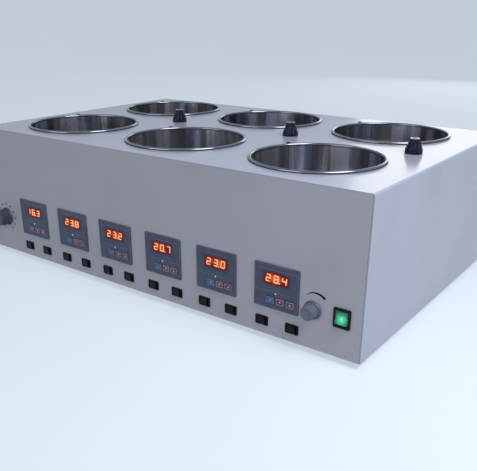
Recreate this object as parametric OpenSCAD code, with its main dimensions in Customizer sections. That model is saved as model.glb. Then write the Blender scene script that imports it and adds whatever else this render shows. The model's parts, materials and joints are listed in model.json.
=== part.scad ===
// Water bath magnetic stirrer with six places: a folded steel case, six stainless pots let into its
// deck, a control panel with a temperature controller for each pot, and under each pot a motor
// that turns a magnet. Sizes are in millimetres. The origin is on the bench, at the centre of the
// outline. +Z is up, and the control panel faces -Y.

/* [Case] */
// Width of the case
body_w = 688; // [620:1:780]
// Depth of the case
body_d = 440; // [400:1:520]
// Height of the case without its feet
body_h = 200; // [190:1:260]
// Thickness of the folded sheets
sheet_t = 1.5; // [1:0.1:2.5]
// Outer radius of the folds between the deck and the sides
fold_r = 3; // [2.6:0.1:6]
// Width of the flanges that join the sheets
flange_w = 12; // [8:1:18]
// Gap between a sheet and the panel let into it
panel_gap = 0.3; // [0.1:0.1:1]
// Height of the feet under the case
foot_h = 8; // [5:1:20]
// Diameter of a foot at the bench
foot_d = 24; // [18:1:36]
// Distance from the case's side to the middle of a foot
foot_inset_x = 62; // [45:1:100]
// Distance from the case's front or back to the middle of a foot
foot_inset_y = 56; // [45:1:64]

/* [Water pots] */
// Inner diameter of a pot
pot_bore_d = 167.4; // [140:0.2:175]
// Wall of a pot
pot_wall = 1; // [0.6:0.1:2]
// Inner radius between a pot's wall and its floor
pot_corner_r = 12; // [5:1:20]
// Width of the rolled rim
rim_w = 4.2; // [3.4:0.2:9]
// Thickness of the seal under the rim
seal_t = 1.4; // [0.5:0.1:2]
// Width of the seal
seal_w = 2.4; // [1.6:0.1:5]
// Gap between a pot and its hole in the deck
pot_gap = 0.6; // [0.3:0.1:1.5]
// Distance from the case's left side to the middle of the first pots
pot_edge_left = 119; // [105:1:130]
// Distance from the case's right side to the middle of the last pots
pot_edge_right = 133; // [120:1:145]
// Distance from the case's front to the middle of the front pots
pot_edge_front = 114; // [105:1:120]
// Distance from the case's back to the middle of the rear pots
pot_edge_rear = 106; // [98:1:112]

/* [Heating and stirring] */
// Inner diameter of a heater ring
heater_bore_d = 76; // [68:1:90]
// Outer diameter of a heater ring
heater_d = 134; // [110:1:138]
// Thickness of a heater ring
heater_t = 6; // [3:0.5:10]
// Diameter of a temperature probe
probe_d = 5; // [3:0.5:8]
// Length of a temperature probe
probe_len = 30; // [20:1:50]
// Diameter of a magnet rotor's yoke
yoke_d = 60; // [50:1:64]
// Thickness of the yoke
yoke_t = 3; // [2:0.5:5]
// Diameter of a stirring magnet
magnet_d = 18; // [10:1:22]
// Height of a stirring magnet
magnet_h = 7; // [4:0.5:10]
// Gap between the magnets and the pot's floor
magnet_gap = 2.5; // [1.5:0.1:5]
// Diameter of a motor's spindle
spindle_d = 6; // [4:0.5:8]
// Diameter of a motor's can
motor_d = 64; // [50:1:70]
// Height of a motor's can
motor_h = 45; // [30:1:55]
// Side of a motor's mounting plate
motor_plate = 74; // [72:1:90]
// Diameter of the posts that carry a motor
post_d = 8; // [6:0.5:10]

/* [Controllers] */
// Distance from the case's side to the middle of the outer controllers
ctrl_edge = 115; // [110:0.5:120]
// Width of a controller's bezel
ctrl_w = 63.4; // [60:0.2:70]
// Height of a controller's bezel
ctrl_h = 57.4; // [54:0.2:66]
// Height of the bezels above the case's bottom
ctrl_low = 37.3; // [32:0.1:44]
// Depth of a controller behind the panel
ctrl_depth = 60; // [30:1:68]
// Room between the controllers and the heaters above them
ctrl_headroom = 7.3; // [3:0.1:15]
// How far a bezel stands out of the panel
bezel_t = 2; // [1.6:0.1:4]
// Width of the raised edge round a controller's face
bezel_lip = 2.2; // [1:0.1:3]
// How far a bezel overlaps the panel
bezel_over = 2.4; // [1.5:0.1:3.5]
// Thickness of a controller's face
face_t = 1; // [0.6:0.1:1.2]
// How far the face lies below the raised edge
face_drop = 0.3; // [0:0.1:0.4]
// Width of a key
key_w = 11.2; // [8:0.2:12]
// Height of a key
key_h = 8.2; // [6:0.2:10]
// Distance between keys
key_pitch = 13.9; // [13.5:0.1:15]
// How far the middle key sits to the right of the controller's middle
key_shift = 6.4; // [0:0.1:7.3]
// Height of the keys' middle above the bezel's lower edge
key_rise = 11.5; // [10.2:0.1:14]
// How far a key stands out of the face
key_proud = 0.8; // [0.7:0.1:1.5]
// Travel of a key
key_travel = 0.5; // [0.2:0.1:0.6]

/* [Rocker switches] */
// Length of a small switch's bezel
rocker_l = 18; // [13:0.5:19]
// Width of a small switch's bezel
rocker_w = 12.5; // [9:0.5:13]
// Distance between the two switches of a place
rocker_spread = 43.5; // [30:0.5:50]
// How far the two switches sit to the right of the controller's middle
rocker_shift = 1.5; // [-3:0.5:4]
// Height of the small switches' middle above the case's bottom
rocker_z = 17.7; // [17:0.1:22]
// Angle that a small rocker leans to either side
rocker_throw = 9; // [5:1:12]
// Height of the power switch's bezel
power_l = 24.6; // [22:0.2:30]
// Width of the power switch's bezel
power_w = 21.6; // [18:0.2:26]
// Distance from the case's right side to the power switch
power_edge = 26.4; // [22:0.2:31]
// Angle that the power rocker leans to either side
power_throw = 8; // [5:1:12]

/* [Knobs] */
// Height of the power switch and the speed knob above the case's bottom
dial_z = 51; // [40:0.2:80]
// Distance from the power switch to the speed knob
speed_gap = 38.5; // [34:0.5:40]
// Diameter of the speed knob's skirt
speed_skirt_d = 23.2; // [21:0.2:28]
// Diameter of the speed knob's face
speed_tip_d = 17.2; // [14:0.2:18]
// How far the speed knob stands out of the panel
speed_h = 15.6; // [13:0.2:24]
// Distance from the case's left side to the timer knob
timer_edge = 41; // [36:0.5:48]
// Height of the timer knob above the case's bottom
timer_z = 57; // [45:0.5:80]
// Diameter of the timer knob's skirt
timer_skirt_d = 28.4; // [27:0.2:38]
// Diameter of the timer knob's face
timer_tip_d = 24; // [18:0.2:25]
// How far the timer knob stands out of the panel
timer_h = 18; // [14:0.2:26]
// Diameter of the panel spindles
dial_spindle_d = 6; // [5:0.5:6]

/* [Rod clamps] */
// Diameter of the support rods that the clamps take
rod_d = 8; // [6:0.5:8]
// Height of a collet nut
nut_h = 19; // [16:0.5:26]
// Diameter of a collet nut at the deck
nut_base_d = 23; // [20:0.5:28]
// Diameter of a collet nut at its top
nut_top_d = 13; // [12:0.5:16]
// Depth of a rod socket below the deck
socket_depth = 45; // [30:1:60]
// Distance from a column of pots to its clamp
clamp_offset = 106; // [98:1:108]
// Least distance from the case's right side to a clamp
clamp_edge = 48; // [40:1:60]
// How far the clamps sit behind the case's middle
clamp_shift_y = 10; // [0:1:20]
// How much nearer to the front the last clamp sits
clamp_last_y = 13; // [0:1:20]

/* [Back] */
// Width of the mains inlet's flange
inlet_w = 48; // [44:0.5:56]
// Height of the mains inlet's flange
inlet_h = 27; // [26:0.5:34]
// Distance from the case's right side to the mains inlet
inlet_edge = 94; // [60:1:130]
// Height of the mains inlet above the case's bottom
inlet_z = 45; // [35:1:80]
// Length of a vent slot
vent_l = 44; // [20:1:70]
// Width of a vent slot
vent_w = 4; // [2:0.5:5]
// Distance between vent slots
vent_pitch = 11; // [8:0.5:14]
// Distance from the case's middle to the middle of a group of vents
vent_x = 96; // [85:1:120]
// Height of the vents' middle above the case's bottom
vent_z = 60; // [50:1:110]

/* [Hidden] */
$fn = 64;
cut = 1;
run_gap = 0.05;
fit_gap = 0.15;

// Counts
pot_cols = 3;
pot_rows = 2;
pot_n = pot_cols * pot_rows;

// Case
case_z0 = foot_h;
case_z1 = foot_h + body_h;
deck_under = case_z1 - sheet_t;
inlet_flange_t = 3;
front_reach = max(speed_h, timer_h);
rear_reach = inlet_flange_t;
front_y = front_reach - (body_d + front_reach + rear_reach) / 2;
rear_y = front_y + body_d;
mid_y = (front_y + rear_y) / 2;
panel_w = body_w - 2 * (sheet_t + panel_gap);
base_under = case_z0 + sheet_t;
base_top = base_under + sheet_t;
foot_flare = 4;
foot_top_d = foot_d + foot_flare;
foot_hole_d = 9;
foot_hole_h = 4;

// Pots, their seals and their heaters
pot_r = pot_bore_d / 2;
pot_outer_r = pot_r + pot_wall;
deck_hole_r = pot_outer_r + pot_gap;
seat_z = case_z1 + seal_t;
pot_floor_z = case_z0 + ctrl_low + ctrl_h + ctrl_headroom + heater_t;
heater_z = pot_floor_z - heater_t;
heater_post_d = 6;
heater_post_h = 5;
heater_post_turn = 12;
pot_pitch_x = (body_w - pot_edge_left - pot_edge_right) / (pot_cols - 1);
pot_pitch_y = (body_d - pot_edge_front - pot_edge_rear) / (pot_rows - 1);
function pot_x(i) = pot_edge_left - body_w / 2 + i * pot_pitch_x;
function pot_y(j) = front_y + pot_edge_front + j * pot_pitch_y;
function place_x(n) = pot_x(n % pot_cols);
function place_y(n) = pot_y(floor(n / pot_cols));

// Probes lie in a saddle against the pot's wall
saddle_side = 5;
saddle_back = 2;
probe_rise = 4;
saddle_w = probe_d + saddle_side;
saddle_t = probe_d + saddle_back;
saddle_root = saddle_t / 2;
saddle_len = probe_len / 2;
probe_below = probe_len / 4;
probe_z = pot_floor_z + pot_corner_r + probe_rise;

// Rotors and motors, stacked down from the pot's floor
rotor_top = pot_floor_z - magnet_gap;
yoke_top = rotor_top - magnet_h;
hub_top = yoke_top - yoke_t;
hub_h = 8;
hub_d = 16;
hub_gap = 0.5;
boss_top = hub_top - hub_h - hub_gap;
boss_h = 6;
boss_d = 20;
can_top = boss_top - boss_h;
can_z = can_top - motor_h;
motor_plate_t = 3;
motor_plate_z = can_z - motor_plate_t;
motor_edge = 2;
spindle_share = 0.75;
spindle_len = motor_h * spindle_share;
magnet_inset = 2;
magnet_r = (yoke_d - magnet_d) / 2 - magnet_inset;
post_inset = 6;
post_at = motor_plate / 2 - post_inset;

// Controllers
ctrl_zc = case_z0 + ctrl_low + ctrl_h / 2;
ctrl_bw = ctrl_w - 2 * bezel_over;
ctrl_bh = ctrl_h - 2 * bezel_over;
bezel_r = 1.5;
face_gap = 0.1;
face_w = ctrl_w - 2 * bezel_lip;
face_h = ctrl_h - 2 * bezel_lip;
face_back = bezel_t - face_drop - face_t;
key_gap = 0.25;
key_r = 1.2;
key_flange = 0.7;
key_flange_t = 0.8;
key_seat = 0.1;
key_stop = 0.3;
key_z = key_rise - ctrl_h / 2;
key_back = face_back - key_seat - key_flange_t;
pocket_z = key_back - key_travel - key_stop;
pocket_w = 2 * key_pitch + key_w + 2 * (key_flange + key_gap);
pocket_h = key_h + 2 * (key_flange + key_gap);
ctrl_pitch = (body_w - 2 * ctrl_edge) / (pot_n - 1);
function ctrl_x(i) = ctrl_edge - body_w / 2 + i * ctrl_pitch;

// Switches. The lip overlaps the panel, the pivot lies behind the panel's face, and the lever
// stands proud of the bezel by its ends and dips in the middle
rocker_lip = 0.8;
rocker_wall = 0.7;
rocker_bezel_t = 1.6;
rocker_depth = 14;
rocker_pivot = 3;
rocker_proud = 0.8;
rocker_dip = 0.9;
rocker_pin_d = 2;
power_lip = 1.6;
power_wall = 1.2;
power_bezel_t = 2;
power_depth = 24;
power_pivot = 5;
power_proud = 1.4;
power_dip = 1.2;
power_pin_d = 3;
lever_gap = 0.3;
lever_drop = 1.6;
pin_end_gap = 0.1;
power_x = body_w / 2 - power_edge;
function heat_x(i) = ctrl_x(i) + rocker_shift - rocker_spread / 2;
function stir_x(i) = ctrl_x(i) + rocker_shift + rocker_spread / 2;

// Knobs and the units behind them
speed_x = power_x - speed_gap;
timer_x = timer_edge - body_w / 2;
knob_gap = 0.6;
skirt_t = 2.4;
skirt_taper = 1;
grip_taper = 1.2;
speed_flutes = 18;
timer_flutes = 24;
flute_d = 2;
flute_out = 0.4;
bush_wall = 1.5;
bush_d = dial_spindle_d + 2 * bush_wall;
hex_over = 5;
hex_d = bush_d + hex_over;
hex_t = 2;
bush_proud = 3;
recess_gap = 1;
recess_d = hex_d + recess_gap;
recess_h = bush_proud + recess_gap;
dial_spindle_back = 12;
speed_unit_d = 24;
speed_unit_h = 11;
board_w = 30;
board_h = 50;
board_t = 1.6;
timer_unit_d = 46;
timer_unit_h = 32;

// Rod clamps. The rod is held by the nut and by the seat at the socket's foot, and between them
// lies the wider way that the collet's jaws spread in
rod_r = rod_d / 2;
clamp_gap = 0.1;
jaw_room = 1.8;
way_r = rod_r + jaw_room;
neck_wall = 1.4;
neck_r = way_r + neck_wall;
neck_h = 8;
neck_gap = 0.4;
deck_gap = 0.2;
rod_seat_h = 18;
nut_gap = 0.3;
nut_band = 2.6;
nut_tiers = 4;
nut_step = 1.3;
nut_flutes = 12;
nut_flute_d = 2.2;
nut_flute_out = 0.4;
socket_wall = 1.3;
socket_r = neck_r + socket_wall;
socket_flange_w = 6;
socket_flange_r = socket_r + socket_flange_w;
socket_flange_t = 4;
socket_floor = 3;
function clamp_x(i) = min(pot_x(i) + clamp_offset, body_w / 2 - clamp_edge);
function clamp_y(i) = mid_y + clamp_shift_y - (i == pot_cols - 1 ? clamp_last_y : 0);

// Mains inlet and vents
inlet_shell_w = 30;
inlet_shell_h = 22;
inlet_wall = 2.4;
inlet_depth = 22;
inlet_floor = 3;
inlet_r = 3;
inlet_x = body_w / 2 - inlet_edge;
blade_w = 2;
blade_h = 4;
blade_len = 15;
blade_spread = 7;
blade_drop = 2;
vent_n = 14;
base_vent_n = 4;

case_nodes = ["top_cover", "front_panel", "rear_panel", "base_plate", "rubber_feet"];
pot_nodes = ["water_pots", "pot_seals", "heater_rings", "temperature_probes", "stirrer_motors"];
panel_nodes = ["controller_housings", "controller_faces", "rocker_switch_bodies", "power_switch_body",
  "speed_control_unit", "timer_unit"];
other_nodes = ["rod_sockets", "mains_inlet", "speed_knob", "timer_knob", "power_rocker"];
function numbered(name, count) = [for (i = [1:count]) str(name, "_", i)];

// Rectangle with round corners
module round_rect(w, h, r) {
  square([w - 2 * r, h], center = true);
  square([w, h - 2 * r], center = true);
  for (sx = [-1, 1], sy = [-1, 1])
    translate([sx * (w / 2 - r), sy * (h / 2 - r)]) circle(r);
}

// Slot with round ends, along X
module slot(l, w) {
  square([l - w, w], center = true);
  for (s = [-1, 1])
    translate([s * (l - w) / 2, 0]) circle(d = w);
}

// Puts a shape drawn in X and Y, with its outside towards +Z, on the front or the back panel
module on_front(x, z) {
  translate([x, front_y, z]) rotate([90, 0, 0]) children();
}
module on_back(x, z) {
  translate([x, rear_y, z]) rotate([90, 0, 180]) children();
}

module at_places() {
  for (n = [0:pot_n - 1])
    translate([place_x(n), place_y(n), 0]) children();
}

// Outline of the folded cover, seen from the front: a box with its upper corners rounded
module fold_outline(w, z1, r) {
  translate([-w / 2, case_z0]) square([w, z1 - r - case_z0]);
  translate([r - w / 2, z1 - r]) square([w - 2 * r, r]);
  for (s = [-1, 1])
    translate([s * (w / 2 - r), z1 - r]) circle(r);
}

// Deck and both side walls in one folded sheet, with flanges turned in under the base plate
module top_cover() {
  color([0.72, 0.74, 0.80])
  difference() {
    union() {
      translate([0, rear_y, 0]) rotate([90, 0, 0]) linear_extrude(body_d)
        difference() {
          fold_outline(body_w, case_z1, fold_r);
          fold_outline(body_w - 2 * sheet_t, deck_under, fold_r - sheet_t);
        }
      for (s = [-1, 1])
        translate([s * (body_w - flange_w) / 2, mid_y, case_z0 + sheet_t / 2])
          cube([flange_w, body_d - 2 * sheet_t - 2 * panel_gap, sheet_t], center = true);
    }
    at_places()
      translate([0, 0, deck_under - cut]) cylinder(r = deck_hole_r, h = sheet_t + 2 * cut, $fn = 128);
    for (i = [0:pot_cols - 1])
      translate([clamp_x(i), clamp_y(i), deck_under - cut])
        cylinder(r = neck_r + deck_gap, h = sheet_t + 2 * cut);
  }
}

// Sheet let in between the cover's sides, from the case's bottom to the deck
module end_sheet() {
  fold_outline(panel_w, deck_under, fold_r - sheet_t);
}

// Flanges of an end sheet: under the deck and on the base plate
module end_flanges(y) {
  for (z = [base_top, deck_under - sheet_t])
    translate([fold_r - panel_w / 2, y, z]) cube([panel_w - 2 * fold_r, flange_w, sheet_t]);
}

module front_panel() {
  color([0.60, 0.61, 0.67]) {
    translate([0, front_y + sheet_t, 0]) rotate([90, 0, 0]) linear_extrude(sheet_t)
      difference() {
        end_sheet();
        for (i = [0:pot_n - 1]) {
          translate([ctrl_x(i), ctrl_zc])
            square([ctrl_bw + 2 * fit_gap, ctrl_bh + 2 * fit_gap], center = true);
          for (x = [heat_x(i), stir_x(i)])
            translate([x, case_z0 + rocker_z])
              square([rocker_l - 2 * rocker_lip + 2 * fit_gap, rocker_w - 2 * rocker_lip + 2 * fit_gap],
                center = true);
        }
        translate([power_x, case_z0 + dial_z])
          square([power_w - 2 * power_lip + 2 * fit_gap, power_l - 2 * power_lip + 2 * fit_gap],
            center = true);
        translate([speed_x, case_z0 + dial_z]) circle(d = bush_d + 2 * fit_gap);
        translate([timer_x, case_z0 + timer_z]) circle(d = bush_d + 2 * fit_gap);
      }
    end_flanges(front_y + sheet_t);
  }
}

module rear_panel() {
  color([0.66, 0.68, 0.74]) {
    translate([0, rear_y, 0]) rotate([90, 0, 0]) linear_extrude(sheet_t)
      difference() {
        end_sheet();
        for (s = [-1, 1], k = [0:vent_n - 1])
          translate([s * vent_x + (k - (vent_n - 1) / 2) * vent_pitch, case_z0 + vent_z])
            rotate(90) slot(vent_l, vent_w);
        translate([inlet_x, case_z0 + inlet_z])
          square([inlet_shell_w + 2 * fit_gap, inlet_shell_h + 2 * fit_gap], center = true);
      }
    end_flanges(rear_y - sheet_t - flange_w);
  }
}

// Plate on the cover's flanges, with four posts and four vent slots under each motor
module base_plate() {
  color([0.55, 0.56, 0.60]) {
    difference() {
      translate([-panel_w / 2, front_y + sheet_t, base_under])
        cube([panel_w, body_d - 2 * sheet_t, sheet_t]);
      at_places()
        for (k = [0:base_vent_n - 1])
          translate([0, (k - (base_vent_n - 1) / 2) * vent_pitch, base_under - cut])
            linear_extrude(sheet_t + 2 * cut) slot(vent_l, vent_w);
    }
    at_places()
      for (sx = [-1, 1], sy = [-1, 1])
        translate([sx * post_at, sy * post_at, base_top - sheet_t / 2])
          cylinder(d = post_d, h = motor_plate_z - base_top + sheet_t / 2);
  }
}

module rubber_feet() {
  color([0.10, 0.10, 0.11])
  for (sx = [-1, 1], sy = [-1, 1])
    translate([sx * (body_w / 2 - foot_inset_x), mid_y + sy * (body_d / 2 - foot_inset_y), 0])
      difference() {
        cylinder(d1 = foot_d, d2 = foot_top_d, h = base_under);
        translate([0, 0, -cut]) cylinder(d = foot_hole_d, h = foot_hole_h + cut);
      }
}

// Half section of a pot: a wall and floor with a round corner between them, and a rolled rim
module pot_outline(r, z, corner) {
  translate([0, z]) square([r - corner, seat_z - z]);
  translate([0, z + corner]) square([r, seat_z - z - corner]);
  translate([r - corner, z + corner]) circle(corner);
}

module pot_section() {
  difference() {
    pot_outline(pot_outer_r, pot_floor_z, pot_corner_r + pot_wall);
    pot_outline(pot_r, pot_floor_z + pot_wall, pot_corner_r);
  }
  intersection() {
    translate([pot_r + rim_w / 2, seat_z]) circle(d = rim_w);
    translate([pot_r, seat_z]) square([rim_w, rim_w]);
  }
}

module water_pots() {
  color([0.80, 0.81, 0.83])
  at_places() rotate_extrude($fn = 128) pot_section();
}

module pot_seals() {
  color([0.12, 0.12, 0.13])
  at_places()
    translate([0, 0, case_z1]) rotate_extrude($fn = 128)
      translate([pot_r + rim_w - seal_w, 0]) square([seal_w, seal_t]);
}

// Ring heater against the pot's floor, with two terminal posts
module heater_rings() {
  color([0.70, 0.62, 0.45])
  at_places() {
    translate([0, 0, heater_z]) difference() {
      cylinder(d = heater_d, h = heater_t);
      translate([0, 0, -cut]) cylinder(d = heater_bore_d, h = heater_t + 2 * cut);
    }
    for (s = [-1, 1])
      rotate(90 + s * heater_post_turn)
        translate([(heater_bore_d + heater_d) / 4, 0, heater_z - heater_post_h])
          cylinder(d = heater_post_d, h = heater_post_h + heater_t / 2);
  }
}

// Probe in a saddle that fits the pot's wall
module temperature_probes() {
  color([0.75, 0.76, 0.78])
  at_places()
    difference() {
      union() {
        translate([pot_outer_r - saddle_root, -saddle_w / 2, probe_z])
          cube([saddle_root + saddle_t, saddle_w, saddle_len]);
        translate([pot_outer_r + saddle_root, 0, probe_z - probe_below])
          cylinder(d = probe_d, h = probe_len);
      }
      translate([0, 0, probe_z - cut]) cylinder(r = pot_outer_r + fit_gap, h = probe_len, $fn = 128);
    }
}

// Motor: can with a mounting plate below and a bearing boss above
module stirrer_motors() {
  color([0.35, 0.36, 0.38])
  at_places()
    difference() {
      union() {
        translate([0, 0, motor_plate_z]) linear_extrude(motor_plate_t)
          round_rect(motor_plate, motor_plate, post_inset);
        translate([0, 0, can_z]) cylinder(d = motor_d, h = motor_h - motor_edge);
        translate([0, 0, can_top - motor_edge])
          cylinder(d1 = motor_d, d2 = motor_d - 2 * motor_edge, h = motor_edge);
        translate([0, 0, can_top - motor_edge]) cylinder(d = boss_d, h = boss_h + motor_edge);
      }
      translate([0, 0, boss_top - spindle_len - cut])
        cylinder(d = spindle_d + 2 * run_gap, h = spindle_len + 2 * cut);
    }
}

// Spindle, hub and yoke with the two magnets that turn the stirring bar in the pot
module magnet_rotor(n) {
  color([0.30, 0.31, 0.36])
  translate([place_x(n), place_y(n), 0]) {
    translate([0, 0, boss_top - spindle_len])
      cylinder(d = spindle_d, h = spindle_len + hub_gap + hub_h / 2);
    translate([0, 0, hub_top - hub_h]) cylinder(d = hub_d, h = hub_h + yoke_t / 2);
    translate([0, 0, hub_top]) cylinder(d = yoke_d, h = yoke_t);
    for (s = [-1, 1])
      translate([s * magnet_r, 0, yoke_top - yoke_t / 2]) cylinder(d = magnet_d, h = magnet_h + yoke_t / 2);
  }
}

// Bezel and box of a controller, with a seat for the face and a pocket behind the keys
module controller_housings() {
  color([0.17, 0.19, 0.24])
  for (i = [0:pot_n - 1])
    on_front(ctrl_x(i), ctrl_zc)
      difference() {
        union() {
          linear_extrude(bezel_t) round_rect(ctrl_w, ctrl_h, bezel_r);
          translate([0, 0, -ctrl_depth]) linear_extrude(ctrl_depth + bezel_t / 2)
            square([ctrl_bw, ctrl_bh], center = true);
        }
        translate([0, 0, face_back]) linear_extrude(face_t + face_drop + cut)
          square([face_w + 2 * face_gap, face_h + 2 * face_gap], center = true);
        translate([key_shift, key_z, pocket_z]) linear_extrude(face_back - pocket_z + cut)
          square([pocket_w, pocket_h], center = true);
      }
}

module controller_faces() {
  color([0.20, 0.23, 0.31])
  for (i = [0:pot_n - 1])
    on_front(ctrl_x(i), ctrl_zc)
      translate([0, 0, face_back]) linear_extrude(face_t)
        difference() {
          square([face_w, face_h], center = true);
          for (k = [-1:1])
            translate([key_shift + k * key_pitch, key_z])
              round_rect(key_w + 2 * key_gap, key_h + 2 * key_gap, key_r + key_gap);
        }
}

// Key cap with the flange that keeps it behind the face
module key(i, k) {
  on_front(ctrl_x(i), ctrl_zc)
    translate([key_shift + k * key_pitch, key_z, 0]) {
      translate([0, 0, key_back]) linear_extrude(key_flange_t)
        square([key_w + 2 * key_flange, key_h + 2 * key_flange], center = true);
      translate([0, 0, key_back]) linear_extrude(face_back + face_t + key_proud - key_back)
        round_rect(key_w, key_h, key_r);
    }
}

module set_key(i) { color([0.25, 0.38, 0.68]) key(i, -1); }
module down_key(i) { color([0.55, 0.30, 0.34]) key(i, 0); }
module up_key(i) { color([0.55, 0.30, 0.34]) key(i, 1); }

// Body of a rocker switch, long along X: bezel, box and a cavity with holes for the lever's pins
module switch_body(l, w, lip, wall, bezel, depth, pivot, pin_d) {
  difference() {
    union() {
      linear_extrude(bezel) round_rect(l, w, lip);
      translate([0, 0, -depth]) linear_extrude(depth + bezel / 2)
        square([l - 2 * lip, w - 2 * lip], center = true);
    }
    translate([0, 0, -2 * pivot]) linear_extrude(2 * pivot + bezel + cut)
      square([l - 2 * lip - 2 * wall, w - 2 * lip - 2 * wall], center = true);
    translate([0, w / 2, -pivot]) rotate([90, 0, 0]) cylinder(d = pin_d + 2 * run_gap, h = w);
  }
}

// Lever of a rocker switch, leaning by tilt about its pins, with room to lean the other way
module switch_lever(l, w, lip, wall, bezel, pivot, proud, dip, throw, pin_d, tilt) {
  half_w = w / 2 - lip - wall - lever_gap;
  rise = pivot + bezel + proud;
  half_l = (l / 2 - lip - wall - lever_gap - rise * sin(throw)) / cos(throw);
  pin_half = w / 2 - lip - pin_end_gap;
  translate([0, 0, -pivot]) rotate([0, tilt, 0]) {
    translate([0, half_w, 0]) rotate([90, 0, 0]) linear_extrude(2 * half_w)
      polygon([[-half_l, rise], [0, rise - dip], [half_l, rise], [half_l - lever_drop / 2, -lever_drop],
        [lever_drop / 2 - half_l, -lever_drop]]);
    translate([0, pin_half, 0]) rotate([90, 0, 0]) cylinder(d = pin_d, h = 2 * pin_half);
  }
}

module rocker_switch_bodies() {
  color([0.06, 0.06, 0.07])
  for (i = [0:pot_n - 1], x = [heat_x(i), stir_x(i)])
    on_front(x, case_z0 + rocker_z)
      switch_body(rocker_l, rocker_w, rocker_lip, rocker_wall, rocker_bezel_t, rocker_depth, rocker_pivot,
        rocker_pin_d);
}

module small_rocker(x) {
  color([0.08, 0.08, 0.09])
  on_front(x, case_z0 + rocker_z)
    switch_lever(rocker_l, rocker_w, rocker_lip, rocker_wall, rocker_bezel_t, rocker_pivot, rocker_proud,
      rocker_dip, rocker_throw, rocker_pin_d, -rocker_throw);
}

module heat_rocker(i) { small_rocker(heat_x(i)); }
module stir_rocker(i) { small_rocker(stir_x(i)); }

module power_switch_body() {
  color([0.05, 0.07, 0.07])
  on_front(power_x, case_z0 + dial_z) rotate(90)
    switch_body(power_l, power_w, power_lip, power_wall, power_bezel_t, power_depth, power_pivot,
      power_pin_d);
}

module power_rocker() {
  color([0.15, 0.70, 0.48])
  on_front(power_x, case_z0 + dial_z) rotate(90)
    switch_lever(power_l, power_w, power_lip, power_wall, power_bezel_t, power_pivot, power_proud,
      power_dip, power_throw, power_pin_d, power_throw);
}

// Skirted knob with a fluted grip, hollow behind for the bush's nut, and its spindle
module dial_knob(skirt_d, tip_d, h, flutes) {
  grip_d = tip_d + 2 * grip_taper;
  grip_z = knob_gap + skirt_t;
  lean = atan(grip_taper / (h - grip_z));
  difference() {
    union() {
      translate([0, 0, knob_gap]) cylinder(d1 = skirt_d, d2 = skirt_d - 2 * skirt_taper, h = skirt_t);
      translate([0, 0, grip_z]) cylinder(d1 = grip_d, d2 = tip_d, h = h - grip_z - skirt_taper);
      translate([0, 0, h - skirt_taper])
        cylinder(d1 = tip_d, d2 = tip_d - 2 * skirt_taper, h = skirt_taper);
    }
    for (k = [0:flutes - 1])
      rotate(k * 360 / flutes) translate([grip_d / 2 + flute_out, 0, grip_z])
        rotate([0, -lean, 0]) cylinder(d = flute_d, h = h, $fn = 24);
    translate([0, 0, knob_gap - cut]) cylinder(d = recess_d, h = recess_h + cut);
  }
  translate([0, 0, -dial_spindle_back])
    cylinder(d = dial_spindle_d, h = dial_spindle_back + knob_gap + recess_h + cut);
}

module speed_knob() {
  color([0.42, 0.45, 0.52])
  on_front(speed_x, case_z0 + dial_z) dial_knob(speed_skirt_d, speed_tip_d, speed_h, speed_flutes);
}

module timer_knob() {
  color([0.22, 0.26, 0.32])
  on_front(timer_x, case_z0 + timer_z) dial_knob(timer_skirt_d, timer_tip_d, timer_h, timer_flutes);
}

// Bush through the panel with its nut in front, and a bore for the knob's spindle
module panel_bush(back) {
  difference() {
    union() {
      translate([0, 0, -back]) cylinder(d = bush_d, h = back + bush_proud);
      cylinder(d = hex_d, h = hex_t, $fn = 6);
      children();
    }
    translate([0, 0, -dial_spindle_back - cut])
      cylinder(d = dial_spindle_d + 2 * run_gap, h = dial_spindle_back + bush_proud + 2 * cut);
  }
}

// Potentiometer behind the panel, on the board that sets the motors' speed
module speed_control_unit() {
  color([0.20, 0.42, 0.30])
  on_front(speed_x, case_z0 + dial_z)
    panel_bush(sheet_t + speed_unit_h / 2) {
      translate([0, 0, -sheet_t - speed_unit_h]) cylinder(d = speed_unit_d, h = speed_unit_h);
      translate([0, 0, -sheet_t - speed_unit_h - board_t]) linear_extrude(board_t)
        square([board_w, board_h], center = true);
    }
}

module timer_unit() {
  color([0.62, 0.60, 0.54])
  on_front(timer_x, case_z0 + timer_z)
    panel_bush(sheet_t + timer_unit_h / 2)
      translate([0, 0, -sheet_t - timer_unit_h]) cylinder(d = timer_unit_d, h = timer_unit_h);
}

// Socket under the deck that a support rod stands in, with a neck for the collet nut
module rod_sockets() {
  color([0.50, 0.51, 0.53])
  for (i = [0:pot_cols - 1])
    translate([clamp_x(i), clamp_y(i), case_z1])
      difference() {
        union() {
          translate([0, 0, -socket_depth]) cylinder(r = socket_r, h = socket_depth - sheet_t);
          translate([0, 0, -sheet_t - socket_flange_t]) cylinder(r = socket_flange_r, h = socket_flange_t);
          translate([0, 0, -socket_depth / 2]) cylinder(r = neck_r, h = socket_depth / 2 + neck_h);
        }
        translate([0, 0, socket_floor - socket_depth])
          cylinder(r = rod_r + clamp_gap, h = rod_seat_h + cut);
        translate([0, 0, socket_floor + rod_seat_h - socket_depth])
          cylinder(r = way_r, h = socket_depth + neck_h);
      }
}

// Outline of the nut's tiers, from its band at the deck to its top, as [radius, height]. Each tier
// narrows upwards and ends in a step
nut_fall = (nut_base_d / 2 + nut_step - nut_top_d / 2) / nut_tiers;
nut_rise = (nut_h - nut_band) / nut_tiers;
nut_outline = concat(
  [[0, 0], [nut_base_d / 2, 0]],
  [for (t = [0:nut_tiers - 1], e = [0, 1])
    [nut_base_d / 2 - (t + e) * nut_fall + e * nut_step, nut_band + (t + e) * nut_rise]],
  [[0, nut_h]]);

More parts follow.
